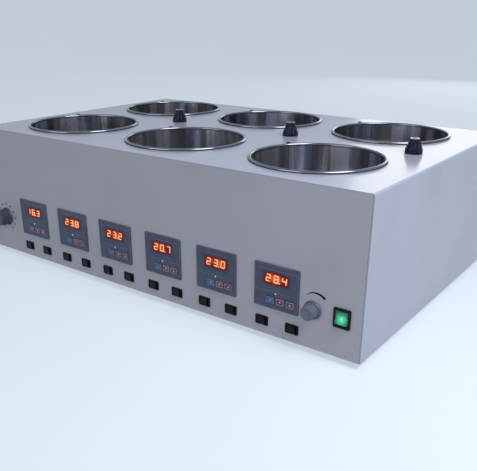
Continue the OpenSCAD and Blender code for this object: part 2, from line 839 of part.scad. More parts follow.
// Fluted nut that closes the collet on the rod
module collet_nut(i) {
  lean = atan((nut_base_d - nut_top_d) / 2 / (nut_h - nut_band));
  color([0.07, 0.07, 0.09])
  translate([clamp_x(i), clamp_y(i), case_z1 + nut_gap])
    difference() {
      rotate_extrude() polygon(nut_outline);
      for (k = [0:nut_flutes - 1])
        rotate(k * 360 / nut_flutes) translate([nut_base_d / 2 + nut_flute_out, 0, nut_band])
          rotate([0, -lean, 0]) cylinder(d = nut_flute_d, h = 2 * nut_h, $fn = 24);
      translate([0, 0, -cut]) cylinder(r = rod_r + clamp_gap, h = nut_h + 2 * cut);
      translate([0, 0, -cut]) cylinder(r = neck_r + run_gap, h = neck_h + neck_gap - nut_gap + cut);
    }
}

// Mains inlet: flange on the rear panel, shell with a recess, and three contact blades
module mains_inlet() {
  color([0.07, 0.07, 0.08])
  on_back(inlet_x, case_z0 + inlet_z) {
    difference() {
      union() {
        linear_extrude(inlet_flange_t) round_rect(inlet_w, inlet_h, inlet_r);
        translate([0, 0, -inlet_depth]) linear_extrude(inlet_depth + inlet_flange_t / 2)
          square([inlet_shell_w, inlet_shell_h], center = true);
      }
      translate([0, 0, inlet_floor - inlet_depth]) linear_extrude(inlet_depth + inlet_flange_t)
        round_rect(inlet_shell_w - 2 * inlet_wall, inlet_shell_h - 2 * inlet_wall, inlet_r);
    }
    for (p = [[-blade_spread, -blade_drop], [blade_spread, -blade_drop], [0, 2 * blade_drop]])
      translate([p[0], p[1], inlet_floor / 2 - inlet_depth]) linear_extrude(blade_len + inlet_floor / 2)
        square([blade_w, blade_h], center = true);
  }
}

top_cover();
front_panel();
rear_panel();
base_plate();
rubber_feet();
water_pots();
pot_seals();
heater_rings();
temperature_probes();
stirrer_motors();
controller_housings();
controller_faces();
rocker_switch_bodies();
power_switch_body();
speed_control_unit();
timer_unit();
rod_sockets();
mains_inlet();
speed_knob();
timer_knob();
power_rocker();
for (i = [0:pot_cols - 1])
  collet_nut(i);
for (i = [0:pot_n - 1]) {
  magnet_rotor(i);
  heat_rocker(i);
  stir_rocker(i);
  set_key(i);
  down_key(i);
  up_key(i);
}
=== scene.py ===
# %% [markdown]
# # Dressing a water bath magnetic stirrer
#
# The stirrer is a folded steel case with six stainless pots in its deck and a control panel in front.
# Its solids come from CAD and are already in the right place, in metres. This lesson adds what a solid
# can't show: paint, drawn steel, lit figures, printed marks and small fasteners. Each step first says
# what the piece is on the real stirrer, and then how it is made here.

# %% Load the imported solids
import json
from math import atan2, cos, exp, hypot, pi, radians, sin, tan

import bmesh
import bpy
from mathutils import Matrix, Vector


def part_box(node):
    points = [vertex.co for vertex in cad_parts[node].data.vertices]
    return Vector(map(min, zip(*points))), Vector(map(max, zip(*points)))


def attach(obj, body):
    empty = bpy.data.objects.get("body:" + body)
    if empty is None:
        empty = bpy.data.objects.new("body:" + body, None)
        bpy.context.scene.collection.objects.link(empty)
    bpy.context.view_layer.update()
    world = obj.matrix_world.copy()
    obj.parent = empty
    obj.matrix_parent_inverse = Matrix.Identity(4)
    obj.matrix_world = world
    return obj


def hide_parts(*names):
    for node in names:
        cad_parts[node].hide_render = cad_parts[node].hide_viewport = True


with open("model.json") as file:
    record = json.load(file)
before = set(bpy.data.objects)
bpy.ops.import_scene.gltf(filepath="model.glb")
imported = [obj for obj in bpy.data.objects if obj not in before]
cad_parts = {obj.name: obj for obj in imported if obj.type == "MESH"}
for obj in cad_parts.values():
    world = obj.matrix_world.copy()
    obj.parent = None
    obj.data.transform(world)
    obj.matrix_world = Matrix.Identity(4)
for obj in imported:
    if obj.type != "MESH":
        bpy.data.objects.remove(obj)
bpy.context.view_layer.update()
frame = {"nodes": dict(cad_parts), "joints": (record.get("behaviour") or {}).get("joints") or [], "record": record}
nodes = frame["nodes"]
joint_of = {joint["child"]: joint for joint in frame["joints"]}
body_of = {node: body for body, members in frame["record"]["behaviour"]["bodies"].items() for node in members}

# %% [markdown]
# ## Places
#
# Every later step needs to know where the panel, the deck and the pots are. The solids' own boxes and
# the joints' own axes give that, so the dressing follows the solids. Only what no box can give is typed
# in, such as the width of one controller in a row of six.

# %% Read the places from the solids
MM = 0.001
POT_COLUMNS, POT_ROWS = 3, 2
POT_NUMBERS, NUT_NUMBERS = range(1, 7), range(1, 4)
case_lo, case_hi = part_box("top_cover")
panel_y = case_lo.y
deck_z = case_hi.z
pot_middles = [Vector(joint_of[f"magnet_rotor_{n}"]["pos_m"]) for n in POT_NUMBERS]
housing_lo, housing_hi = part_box("controller_housings")
controller_w, controller_h = 63.4 * MM, housing_hi.z - housing_lo.z
controller_pitch = (housing_hi.x - housing_lo.x - controller_w) / (len(POT_NUMBERS) - 1)
controller_x = [housing_lo.x + controller_w / 2 + n * controller_pitch for n in range(len(POT_NUMBERS))]
face_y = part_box("controller_faces")[0].y
print("panel at y", round(panel_y, 4), "deck at z", round(deck_z, 4), "controllers every", round(controller_pitch, 4))

# %% [markdown]
# ## Camera
#
# The picture was taken from the right of the panel and from above, with an ordinary lens. The case's
# edges gave the camera's place and angle. A lens shift frames the object as in the picture without
# tilting the camera, so that upright edges converge by the right amount.

# %% Set up the camera
def add_object(name, data):
    """A new object in the scene, at the origin."""
    made = bpy.data.objects.new(name, data)
    bpy.context.scene.collection.objects.link(made)
    return made


camera_right, camera_front, camera_up = 0.26576, 0.60186, 0.37366
tilt_down, turn_left = 22.76, 36.981
camera_data = bpy.data.cameras.new("camera")
camera_data.sensor_fit = "HORIZONTAL"
camera_data.sensor_width = 36
camera_data.lens = 48.7
camera_data.shift_x, camera_data.shift_y = 0.0209, 0.0934
camera_data.clip_start = 0.01
camera = add_object("camera", camera_data)
camera.location = (case_hi.x + camera_right, panel_y - camera_front, case_lo.z + camera_up)
camera.rotation_euler = (radians(90 - tilt_down), 0, radians(turn_left))
bpy.context.scene.camera = camera
print("camera at", [round(v, 3) for v in camera.location])

# %% [markdown]
# ## Helpers for finishes
#
# A finish is a tree of shader nodes. Short helpers keep such trees readable: one turns a colour as a
# picture shows it, from 0 to 255, into the linear numbers that Blender works with, and one adds a node
# and fills its sockets. The others stand for nodes that come up again and again.

# %% Colours and nodes
def tone(red, green, blue, gain=1.0):
    """A colour as a picture shows it, as the linear colour of a shader socket."""
    linear = []
    for value in (red, green, blue):
        value = value / 255
        linear.append(gain * (value / 12.92 if value <= 0.04045 else ((value + 0.055) / 1.055) ** 2.4))
    return (*linear, 1.0)


def shades(colour, *shares):
    """A colour times each of these shares, as tones."""
    return [tone(*[value * share for value in colour]) for share in shares]


def connect(tree, socket, value):
    """Links a socket to another node's output, or gives it a value of its own."""
    if isinstance(value, bpy.types.NodeSocket):
        tree.links.new(value, socket)
    else:
        socket.default_value = value


def fill(tree, node, **inputs):
    """Fills a node's sockets by name, with _ in place of a space."""
    for key, value in inputs.items():
        connect(tree, node.inputs[key.replace("_", " ")], value)


def add_node(tree, kind, settings=None, **inputs):
    """A new node. Settings are its properties, and inputs fill its sockets."""
    made = tree.nodes.new(kind)
    for key, value in (settings or {}).items():
        setattr(made, key, value)
    fill(tree, made, **inputs)
    return made


def new_finish(name):
    """A new material, with its node tree and its Principled shader."""
    material = bpy.data.materials.new(name)
    material.use_nodes = True
    return material, material.node_tree, material.node_tree.nodes["Principled BSDF"]


print("a middle grey in linear numbers:", round(tone(128, 128, 128)[0], 3))

# %% Nodes that come up often
def sums(tree, operation, *values):
    """The result of one Math node."""
    made = add_node(tree, "ShaderNodeMath", {"operation": operation})
    for socket, value in zip(made.inputs, values):
        connect(tree, socket, value)
    return made.outputs[0]


def weighted(tree, first, share, second, other_share):
    """Two values added, each times its own share."""
    return sums(tree, "ADD", sums(tree, "MULTIPLY", first, share), sums(tree, "MULTIPLY", second, other_share))


def rescaled(tree, value, **ends):
    """A value moved from one range to another. The ends are the Map Range node's own sockets."""
    return add_node(tree, "ShaderNodeMapRange", Value=value, **ends).outputs["Result"]


def ramp(tree, factor, stops):
    """The colour of a Color Ramp that has these (position, colour) stops."""
    made = add_node(tree, "ShaderNodeValToRGB", Fac=factor)
    elements = made.color_ramp.elements
    while len(elements) < len(stops):
        elements.new(0.5)
    for element, (position, colour) in zip(elements, stops):
        element.position = position
        element.color = colour
    return made.outputs["Color"]


def mix_colours(tree, factor, first, second, blend="MIX"):
    """The colour of one Mix node. It has sockets for each kind of data, and these are the colour's."""
    made = add_node(tree, "ShaderNodeMix", {"data_type": "RGBA", "blend_type": blend})
    for socket, value in zip((made.inputs[0], made.inputs[6], made.inputs[7]), (factor, first, second)):
        connect(tree, socket, value)
    return made.outputs[2]


def object_place(tree):
    """A point's place in its own object."""
    return add_node(tree, "ShaderNodeTexCoord").outputs["Object"]


def noise(tree, place, scale, detail):
    """A cloud of noise about 0.5."""
    return add_node(tree, "ShaderNodeTexNoise", Vector=place, Scale=scale, Detail=detail).outputs["Fac"]


def bumps(tree, height, strength, distance):
    """The normal of a surface that a height makes uneven."""
    return add_node(tree, "ShaderNodeBump", Strength=strength, Distance=distance, Height=height).outputs["Normal"]


print("node helpers are ready")

# %% [markdown]
# ## Helpers for turned shapes
#
# Pots, screw heads, studs and even the floor are turned shapes: an outline of (radius, height) points that
# goes round an axis, as on a lathe. One helper draws arcs for outlines, one turns an outline, and one makes
# a mesh whose faces point outwards.

# %% Mesh helpers
def arc(middle, radius, start, end, steps):
    """Points of an arc in an outline, as (radius, height)."""
    angles = [radians(start + (end - start) * n / steps) for n in range(steps + 1)]
    return [(middle[0] + radius * cos(a), middle[1] + radius * sin(a)) for a in angles]


def neighbours(count):
    """Each number below count with the next one. The last one's next is the first."""
    return [(n, (n + 1) % count) for n in range(count)]


def lathe(outline, segments):
    """Vertices and faces of an outline turned about Z. A point on the axis becomes one vertex."""
    verts, rings, faces = [], [], []
    for radius, height in outline:
        count = 1 if radius < 1e-9 else segments
        rings.append(range(len(verts), len(verts) + count))
        verts += [(radius * cos(2 * pi * n / segments), radius * sin(2 * pi * n / segments), height)
                  for n in range(count)]
    for low, high in zip(rings, rings[1:]):
        for n, m in neighbours(segments):
            corners = [low[n % len(low)], low[m % len(low)], high[m % len(high)], high[n % len(high)]]
            corners = list(dict.fromkeys(corners))
            if len(corners) > 2:
                faces.append(corners)
    return verts, faces


def smooth(mesh, sharp):
    """Shades a mesh smooth except at edges over sharp, in degrees. With None it stays flat."""
    if sharp is not None:
        mesh.shade_smooth()
        mesh.set_sharp_from_angle(angle=radians(sharp))
    return mesh


def mesh_of(bm, name):
    """A plain mesh of what was built in a bmesh."""
    mesh = bpy.data.meshes.new(name)
    bm.to_mesh(mesh)
    bm.free()
    return mesh


def make_mesh(name, verts, faces, sharp=None):
    """A mesh with outward faces, flat or smooth."""
    bm = bmesh.new()
    made = [bm.verts.new(v) for v in verts]
    for face in faces:
        bm.faces.new([made[n] for n in face])
    bmesh.ops.recalc_face_normals(bm, faces=bm.faces)
    return smooth(mesh_of(bm, name), sharp)


print("mesh helpers are ready")

# %% [markdown]
# ## Floor and light
#
# A bench-top picture needs a plain pale floor and soft light. The floor is a wide dish: flat under the
# object, and rising far away, so that no horizon cuts the picture. Its finish adds a little light of its
# own to what the camera and the reflections see, and so does the world above it. So both stay pale without
# more light on the object, and the floor still takes the object's shadow.
#
# The picture's light comes from above on the right: the deck and the right side are lit, and the control
# panel lies in shade. A broad lamp there does that, the world fills in the shade, and a weak lamp in front
# gives the panel its even grey. A window behind the object is what the glossy deck mirrors at its right
# end. It is a wide, weak lamp that lies low behind the case.

# %% Make the floor and the world
floor_shown, sky_light, sky_shown = 0.58, 0.27, 0.42


def seen_ray(tree):
    """One for a ray from the camera, from a mirror or through glass. Zero for one that only carries light."""
    ray = add_node(tree, "ShaderNodeLightPath").outputs
    mirrored = sums(tree, "MAXIMUM", ray["Is Glossy Ray"], ray["Is Transmission Ray"])
    return sums(tree, "MAXIMUM", ray["Is Camera Ray"], mirrored)


def make_floor(flat, bend):
    """A wide dish under the object, flat as far as flat and then bending up with the radius bend."""
    outline = [(0, 0), (flat, 0)] + arc((flat, bend), bend, -90, -35, 12)
    floor = add_object("floor", make_mesh("floor", *lathe(outline, 96), sharp=60))
    material, tree, shader = new_finish("pale_floor")
    cloud = noise(tree, object_place(tree), 2.0, 2.0)
    fill(tree, shader,
         Base_Color=ramp(tree, cloud, [(0.3, tone(160, 168, 176)), (0.7, tone(164, 172, 180))]),
         Emission_Color=tone(226, 238, 250),
         Emission_Strength=sums(tree, "MULTIPLY", seen_ray(tree), floor_shown),
         Roughness=0.85, Specular_IOR_Level=0.2)
    floor.data.materials.append(material)


def make_world():
    """A sky that lights the object evenly, and that shows a little paler than its light is."""
    world = bpy.data.worlds.new("studio")
    bpy.context.scene.world = world
    world.use_nodes = True
    tree = world.node_tree
    seen = seen_ray(tree)
    fill(tree, tree.nodes["Background"],
         Color=mix_colours(tree, seen, tone(238, 241, 247), tone(224, 236, 250)),
         Strength=sums(tree, "ADD", sums(tree, "MULTIPLY", seen, sky_shown), sky_light))


make_floor(flat=4.5, bend=2.4)
make_world()
bpy.context.scene.view_settings.view_transform = "Standard"
print("floor and world")

# %% Hang the lamps
def add_lamp(name, place, target, size, watts, colour):
    """A soft lamp of this width and height that faces a target, and that the camera doesn't see."""
    data = bpy.data.lights.new(name, "AREA")
    data.shape = "RECTANGLE"
    data.size, data.size_y = size
    data.energy = watts
    data.color = colour
    lamp = add_object(name, data)
    lamp.location = place
    lamp.rotation_euler = (Vector(target) - Vector(place)).to_track_quat("-Z", "Y").to_euler()
    lamp.visible_camera = False


add_lamp("key_lamp", (0.95, -0.3, 1.05), (0.1, 0.0, 0.15), (0.7, 0.7), 13.5, (1.0, 0.995, 0.985))
add_lamp("fill_lamp", (-0.5, -2.6, 0.75), (0, 0, 0.1), (1.8, 1.0), 13, (1.0, 0.985, 0.975))
add_lamp("window_lamp", (-0.4, 3.0, 0.95), (0.3, 0, 0.2), (1.56, 1.3), 9.2, (1.0, 0.975, 0.885))
print(len(bpy.data.lights), "lamps")

# %% [markdown]
# ## Powder coat
#
# The case is steel sheet with a grey powder coat: a thick, even paint that dries with a fine orange peel.
# A slow noise and a fine one keep the grey and the gloss from looking flat, and a still finer one drives
# the bump. The cover is glossy enough to mirror what stands on it at a low angle, and the panels are duller.

# %% Paint the sheets
def powder_coat(name, grey, gloss):
    """Grey paint with orange peel."""
    material, tree, shader = new_finish(name)
    place = object_place(tree)
    cloud, speck, peel = [noise(tree, place, *kind) for kind in ((7.0, 3.0), (420.0, 2.0), (900.0, 2.0))]
    mixed = weighted(tree, cloud, 0.7, speck, 0.3)
    dull, full, clean = shades(grey, 0.955, 1.0, 1.015)
    fill(tree, shader,
         Base_Color=ramp(tree, mixed, [(0.30, dull), (0.50, full), (0.70, clean)]),
         Roughness=rescaled(tree, mixed, To_Min=gloss - 0.03, To_Max=gloss + 0.04),
         Normal=bumps(tree, peel, 0.05, 0.1 * MM))
    return material


def dress(material, *names):
    """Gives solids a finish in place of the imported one."""
    for name in names:
        nodes[name].data.materials.clear()
        nodes[name].data.materials.append(material)


dress(powder_coat("cover_powder_coat", (170, 176, 198), 0.20), "top_cover")
dress(powder_coat("panel_powder_coat", (180, 181, 195), 0.42), "front_panel", "rear_panel")
print("painted the cover and both panels")

# %% [markdown]
# ## Water pots
#
# Each pot is drawn from one stainless sheet, with a round corner at its floor and a rim rolled outwards.
# Drawing leaves faint upright streaks on the wall. The imported mesh of all six pots is coarse, so one
# finer pot is turned on a lathe from its outline. A Geometry Nodes tree then sets six copies on a grid.
# Before that it stores each point's place in its own pot as an attribute, so that the streaks and the painted
# reflection bands run round each pot's own axis. Afterwards it numbers the copies, so that no two pots have the
# same streaks and bands.

# %% Turn one pot on a lathe
pots_lo, pots_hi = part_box("water_pots")
pot_pitch_x = pot_middles[1].x - pot_middles[0].x
pot_pitch_y = pot_middles[POT_COLUMNS].y - pot_middles[0].y
rim_r = (pots_hi.x - pots_lo.x - (POT_COLUMNS - 1) * pot_pitch_x) / 2
rim_w, pot_wall, pot_corner = 4.2 * MM, 1.0 * MM, 12 * MM
pot_r = rim_r - rim_w
pot_low, rim_z = pots_lo.z, pots_hi.z - rim_w / 2
pot_floor = pot_low + pot_wall
corner_middle = (pot_r - pot_corner, pot_floor + pot_corner)
pot_outline = (
    [(0, pot_floor)]
    + arc(corner_middle, pot_corner, -90, 0, 12)
    + [(pot_r, rim_z - 30 * MM), (pot_r, rim_z - 2 * MM)]
    + arc((pot_r + rim_w / 2, rim_z), rim_w / 2, 180, 0, 18)
    + [(pot_r + pot_wall, rim_z)]
    + arc(corner_middle, pot_corner + pot_wall, 0, -90, 8)
    + [(0, pot_low)]
)
one_pot = make_mesh("one_pot", *lathe(pot_outline, 160), sharp=50)
print("one pot:", len(one_pot.polygons), "faces, inside radius", round(pot_r, 4))

# %% Helpers for Geometry Nodes
def geometry_tree(name, inputs):
    """An empty tree with these (name, socket type) inputs and one geometry output."""
    tree = bpy.data.node_groups.new(name, "GeometryNodeTree")
    for label, kind in inputs:
        tree.interface.new_socket(label, in_out="INPUT", socket_type="NodeSocket" + kind)
    tree.interface.new_socket("Geometry", in_out="OUTPUT", socket_type="NodeSocketGeometry")
    return tree, tree.nodes.new("NodeGroupInput").outputs, tree.nodes.new("NodeGroupOutput").inputs


def end_tree(tree, geometry, material, output):
    """Every tree ends the same way: real geometry in place of instances, and then the finish."""
    real = add_node(tree, "GeometryNodeRealizeInstances", Geometry=geometry)
    set_finish = add_node(tree, "GeometryNodeSetMaterial", Geometry=real.outputs["Geometry"], Material=material)
    tree.links.new(set_finish.outputs["Geometry"], output["Geometry"])
    return tree


def grow(name, mesh, tree, values, sharp=None):
    """Runs a tree on a mesh with the values of its named inputs, and keeps the result as a plain mesh."""
    piece = add_object(name, mesh)
    modifier = piece.modifiers.new("grow", "NODES")
    modifier.node_group = tree
    for item in tree.interface.items_tree:
        if item.in_out == "INPUT" and item.name in values:
            modifier[item.identifier] = values[item.name]
    graph = bpy.context.evaluated_depsgraph_get()
    result = bpy.data.meshes.new_from_object(piece.evaluated_get(graph), preserve_all_data_layers=True,
                                             depsgraph=graph)
    piece.modifiers.clear()
    piece.data = smooth(result, sharp)
    result.name = name
    return piece


print("geometry helpers are ready")

# %% The tree that sets copies on a grid
def grid_of_copies():
    """Sets a mesh on a grid, and remembers each point's place in its own copy and the copy's number."""
    tree, given, output = geometry_tree("grid_of_copies", [
        ("Geometry", "Geometry"), ("Columns", "Int"), ("Rows", "Int"), ("Width", "Float"), ("Depth", "Float"),
        ("Middle", "Vector"), ("Finish", "Material")])
    place = add_node(tree, "GeometryNodeInputPosition").outputs["Position"]
    marked = add_node(tree, "GeometryNodeStoreNamedAttribute", {"data_type": "FLOAT_VECTOR", "domain": "POINT"},
                      Geometry=given["Geometry"], Name="own_place", Value=place)
    grid = add_node(tree, "GeometryNodeMeshGrid", Size_X=given["Width"], Size_Y=given["Depth"],
                    Vertices_X=given["Columns"], Vertices_Y=given["Rows"])
    moved = add_node(tree, "GeometryNodeTransform", Geometry=grid.outputs["Mesh"], Translation=given["Middle"])
    copies = add_node(tree, "GeometryNodeInstanceOnPoints", Points=moved.outputs["Geometry"],
                      Instance=marked.outputs["Geometry"])
    number = add_node(tree, "GeometryNodeInputIndex").outputs["Index"]
    counted = add_node(tree, "GeometryNodeStoreNamedAttribute", {"data_type": "FLOAT", "domain": "INSTANCE"},
                       Geometry=copies.outputs["Instances"], Name="copy_number", Value=number)
    return end_tree(tree, counted.outputs["Geometry"], given["Finish"], output)


copy_grid = grid_of_copies()


def at_each_pot(name, mesh, middle, finish):
    """A copy of a mesh for each pot: on a grid like the pots' own, about this middle."""
    return grow(name, mesh, copy_grid, {
        "Columns": POT_COLUMNS, "Rows": POT_ROWS, "Width": (POT_COLUMNS - 1) * pot_pitch_x,
        "Depth": (POT_ROWS - 1) * pot_pitch_y, "Middle": middle, "Finish": finish})


print("made the tree", copy_grid.name)

# %% [markdown]
# The steel's finish reads the stored places. A noise that changes round the pot and hardly upwards gives
# broad upright bands of darker and lighter metal, with a few fine streaks among them. The broad bands are
# painted reflections: the light and shade of mirrored surroundings put into the colour. The fine streaks come
# from drawing, and they also vary the gloss. A second slow noise tints the bands: heat and handling leave steel
# a little brown in places and blue in others. The rolled rim is smoother than the wall, and it has dulled to an
# even grey.
#
# The floor was polished on a turntable, so there the same noises change with the radius and give rings. The
# two places are blended over the round corner, as if they were colours.

# %% Where streaks and rings lie
upward_change, copy_step, ring_change, ring_calm = 0.6, 6.4, 12.0, 0.8


def steel_place(tree, floor_height):
    """A point's place in the noise, its height in its pot, and how far it belongs to the floor, from 0 to 1."""
    own = add_node(tree, "ShaderNodeAttribute", {"attribute_name": "own_place"}).outputs["Vector"]
    split = add_node(tree, "ShaderNodeSeparateXYZ", Vector=own).outputs
    flat = add_node(tree, "ShaderNodeCombineXYZ", X=split["X"], Y=split["Y"]).outputs["Vector"]
    round_wall = add_node(tree, "ShaderNodeVectorMath", {"operation": "NORMALIZE"}, Vector=flat).outputs["Vector"]
    turned = add_node(tree, "ShaderNodeSeparateXYZ", Vector=round_wall).outputs
    copy = add_node(tree, "ShaderNodeAttribute", {"attribute_name": "copy_number"}).outputs["Fac"]
    layer = weighted(tree, split["Z"], upward_change, copy, copy_step)
    on_wall = add_node(tree, "ShaderNodeCombineXYZ", X=turned["X"], Y=turned["Y"], Z=layer).outputs["Vector"]
    radius = add_node(tree, "ShaderNodeVectorMath", {"operation": "LENGTH"}, Vector=flat).outputs["Value"]
    outwards = sums(tree, "MULTIPLY", radius, ring_change)
    on_floor = add_node(tree, "ShaderNodeCombineXYZ", X=outwards, Z=layer).outputs["Vector"]
    inwards = rescaled(tree, split["Z"], From_Min=floor_height + 10 * MM, From_Max=floor_height + 2 * MM)
    return mix_colours(tree, inwards, on_wall, on_floor), split["Z"], inwards


print("streaks change", copy_step, "from pot to pot")

# %% Drawn stainless steel
broad_share, fine_share, rim_gloss = 0.85, 0.15, 0.4


def drawn_steel(name, rim_height, floor_height):
    """Stainless steel with upright streaks and painted reflection bands on the wall, rings on the floor and a smooth
    rim.
    """
    material, tree, shader = new_finish(name)
    place, height, inwards = steel_place(tree, floor_height)
    faint = sums(tree, "MULTIPLY", inwards, ring_calm)

    def calmed(value):
        """On the floor, a value drawn towards its middle, so that the rings stay faint."""
        return sums(tree, "ADD", value, sums(tree, "MULTIPLY", faint, sums(tree, "SUBTRACT", 0.5, value)))

    # Painted reflections: the broad noise puts wide light and dark bands into the wall's colour. The fine noise adds
    # the drawing streaks. On the floor, both together give faint polishing rings.
    broad, fine, hue = [noise(tree, place, *kind) for kind in ((4.6, 1.5), (34.0, 4.0), (7.0, 1.0))]
    streaks_and_painted_reflections = calmed(weighted(tree, broad, broad_share, fine, fine_share))
    painted_reflections_and_rings = ramp(tree, streaks_and_painted_reflections, [(0.34, tone(122, 121, 125)), (0.45, tone(160, 159, 163)),
                                (0.52, tone(194, 193, 196)), (0.60, tone(246, 246, 248))])
    tint = ramp(tree, calmed(hue), [(0.40, tone(236, 243, 255)), (0.52, tone(248, 249, 255)),
                                    (0.62, tone(255, 246, 240))])
    wall = mix_colours(tree, 1.0, painted_reflections_and_rings, tint, "MULTIPLY")
    polished = rescaled(tree, height, From_Min=rim_height - 3 * MM, From_Max=rim_height + 0.5 * MM)
    smoother = sums(tree, "SUBTRACT", 1.0, sums(tree, "MULTIPLY", polished, rim_gloss))
    fill(tree, shader,
         Base_Color=mix_colours(tree, polished, wall, tone(132, 134, 144)),
         Roughness=sums(tree, "MULTIPLY", rescaled(tree, fine, To_Min=0.18, To_Max=0.30), smoother),
         Metallic=1.0,
         Normal=bumps(tree, streaks_and_painted_reflections, 0.06, 0.3 * MM))
    return material


def place_piece(piece, body, slot, *replaced):
    """Every finished piece rides on a body, and may stand for solids. Its slot is not used."""
    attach(piece, body)
    if replaced:
        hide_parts(*replaced)


pot_grid_middle = sum(pot_middles, Vector()) / len(pot_middles)
pots = at_each_pot("drawn_pots", one_pot, (pot_grid_middle.x, pot_grid_middle.y, 0.0),
                   drawn_steel("drawn_stainless", rim_z, pot_floor))
place_piece(pots, "case", "stainless", "water_pots")
print("six pots:", len(pots.data.polygons), "faces")

# %% [markdown]
# ## Rubber and other plain finishes
#
# Rubber, moulded plastic and plated steel are each one finish that several pieces share. A finish made
# from one colour would look like a toy, so each has a slow noise in its colour and its gloss, and a fine
# one in its surface.

# %% Moulded and plated finishes
def moulded(name, colour, gloss, grain=700.0, depth=0.12, metal=0.0, spread=0.14, shine=0.5):
    """A plain finish with a little cloud in its colour and gloss, and a fine grain."""
    material, tree, shader = new_finish(name)
    place = object_place(tree)
    cloud, fine = noise(tree, place, 60.0, 4.0), noise(tree, place, grain, 2.0)
    low, high = shades(colour, 1 - spread, 1 + spread)
    fill(tree, shader,
         Base_Color=ramp(tree, cloud, [(0.3, low), (0.7, high)]),
         Roughness=rescaled(tree, cloud, To_Min=gloss - 0.06, To_Max=gloss + 0.08),
         Normal=bumps(tree, fine, depth, 0.2 * MM),
         Metallic=metal, Specular_IOR_Level=shine)
    return material


black_plastic = moulded("black_moulded_plastic", (15, 14, 18), 0.40, shine=0.12)
nut_plastic = moulded("black_nut_plastic", (17, 17, 40), 0.30, shine=0.2)
rubber = moulded("black_rubber", (30, 30, 32), 0.72, grain=1500.0, depth=0.2)
slate_plastic = moulded("slate_moulded_plastic", (76, 83, 102), 0.42)
knob_grey = moulded("grey_knob_plastic", (98, 105, 124), 0.45)
knob_slate = moulded("slate_knob_plastic", (62, 70, 86), 0.42)
plated = moulded("plated_steel", (168, 170, 174), 0.30, metal=1.0)
zinc = moulded("zinc_plate", (150, 153, 158), 0.48, grain=300.0, metal=1.0)
dark_print = moulded("dark_print", (12, 12, 18), 0.5, shine=0.15)
dress(rubber, "pot_seals", "rubber_feet")
dress(plated, "rod_sockets", "temperature_probes")
dress(zinc, "base_plate")
print("finishes so far:", len(bpy.data.materials))

# %% [markdown]
# ## Softened edges
#
# Moulded parts never have razor edges: the light catches a small round along each one. The solids are
# made with sharp edges, which is right for CAD. Here a copy of a solid has its triangles joined into
# whole faces, and each sharp edge gets a narrow bevel. The copy then shows in the solid's place.

# %% Round the edges of moulded parts
join_gap, flat_turn, edge_turn = 0.002 * MM, radians(0.5), radians(35)


def softened(node, width, material, slot, steps=2):
    """A copy of a solid with rounded edges, on the solid's own body and in the solid's place."""
    bm = bmesh.new()
    bm.from_mesh(nodes[node].data)
    bmesh.ops.remove_doubles(bm, verts=bm.verts, dist=join_gap)
    bmesh.ops.dissolve_limit(bm, angle_limit=flat_turn, verts=bm.verts, edges=bm.edges)
    sharp = [e for e in bm.edges if e.is_manifold and e.calc_face_angle() > edge_turn]
    bmesh.ops.bevel(bm, geom=sharp, offset=width, offset_type="OFFSET", segments=steps, profile=0.5,
                    affect="EDGES", clamp_overlap=True)
    mesh = smooth(mesh_of(bm, node + "_soft"), sharp=30)
    mesh.materials.append(material)
    place_piece(add_object(mesh.name, mesh), body_of[node], slot, node)


softened("controller_housings", 0.35 * MM, slate_plastic, "slate_plastic")
softened("rocker_switch_bodies", 0.25 * MM, black_plastic, "black_plastic")
softened("mains_inlet", 0.5 * MM, black_plastic, "black_plastic")
for n in POT_NUMBERS:
    softened(f"heat_rocker_{n}", 0.35 * MM, black_plastic, "black_plastic")
    softened(f"stir_rocker_{n}", 0.35 * MM, black_plastic, "black_plastic")
for n in NUT_NUMBERS:
    softened(f"collet_nut_{n}", 0.15 * MM, nut_plastic, "black_plastic")
print("softened the housings, the inlet, the small switches and the nuts")

# %% [markdown]
# ## Rings in the nuts
#
# Each nut has a turned steel ring let into its mouth, so that a rod does not wear the plastic. Its section
# is a closed outline with two chamfers. The lathe turns it, and the last ring of points is the first again.

# %% A ring in the mouth of each nut
def turned_ring(outline, segments):
    """Vertices and faces of a closed outline turned about Z."""
    verts, faces = lathe(outline + outline[:1], segments)
    count = len(verts) - segments
    return verts[:count], [[n % count for n in face] for face in faces]


def box_middle(node):
    """The middle of a solid's box, as x, y and z."""
    return [(low + high) / 2 for low, high in zip(*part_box(node))]


ring_steel = moulded("ring_steel", (196, 197, 203), 0.20, metal=1.0, spread=0.05)
ring_in, ring_out, ring_low, ring_high, ring_edge = 4.15 * MM, 5.9 * MM, -0.3 * MM, 0.4 * MM, 0.2 * MM
ring_outline = [(ring_in, ring_low), (ring_out, ring_low), (ring_out, ring_high - ring_edge),
                (ring_out - ring_edge, ring_high), (ring_in + ring_edge, ring_high), (ring_in, ring_high - ring_edge)]
ring_verts, ring_faces = turned_ring(ring_outline, 48)
for n in NUT_NUMBERS:
    nut = f"collet_nut_{n}"
    nut_x, nut_y, _ = box_middle(nut)
    nut_top = Vector((nut_x, nut_y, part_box(nut)[1].z))
    mesh = make_mesh(f"nut_ring_{n}", [nut_top + Vector(v) for v in ring_verts], ring_faces, sharp=30)
    mesh.materials.append(ring_steel)
    place_piece(add_object(mesh.name, mesh), body_of[nut], "plated_steel")
print("three nut rings of", len(ring_faces), "faces each")

# %% [markdown]
# ## Controller faces
#
# Each controller has a printed slate-blue overlay with thin pale lines, a row of lit figures that glow
# through it, a small lamp and three keys. The overlay's gloss is broken by a fine grain.

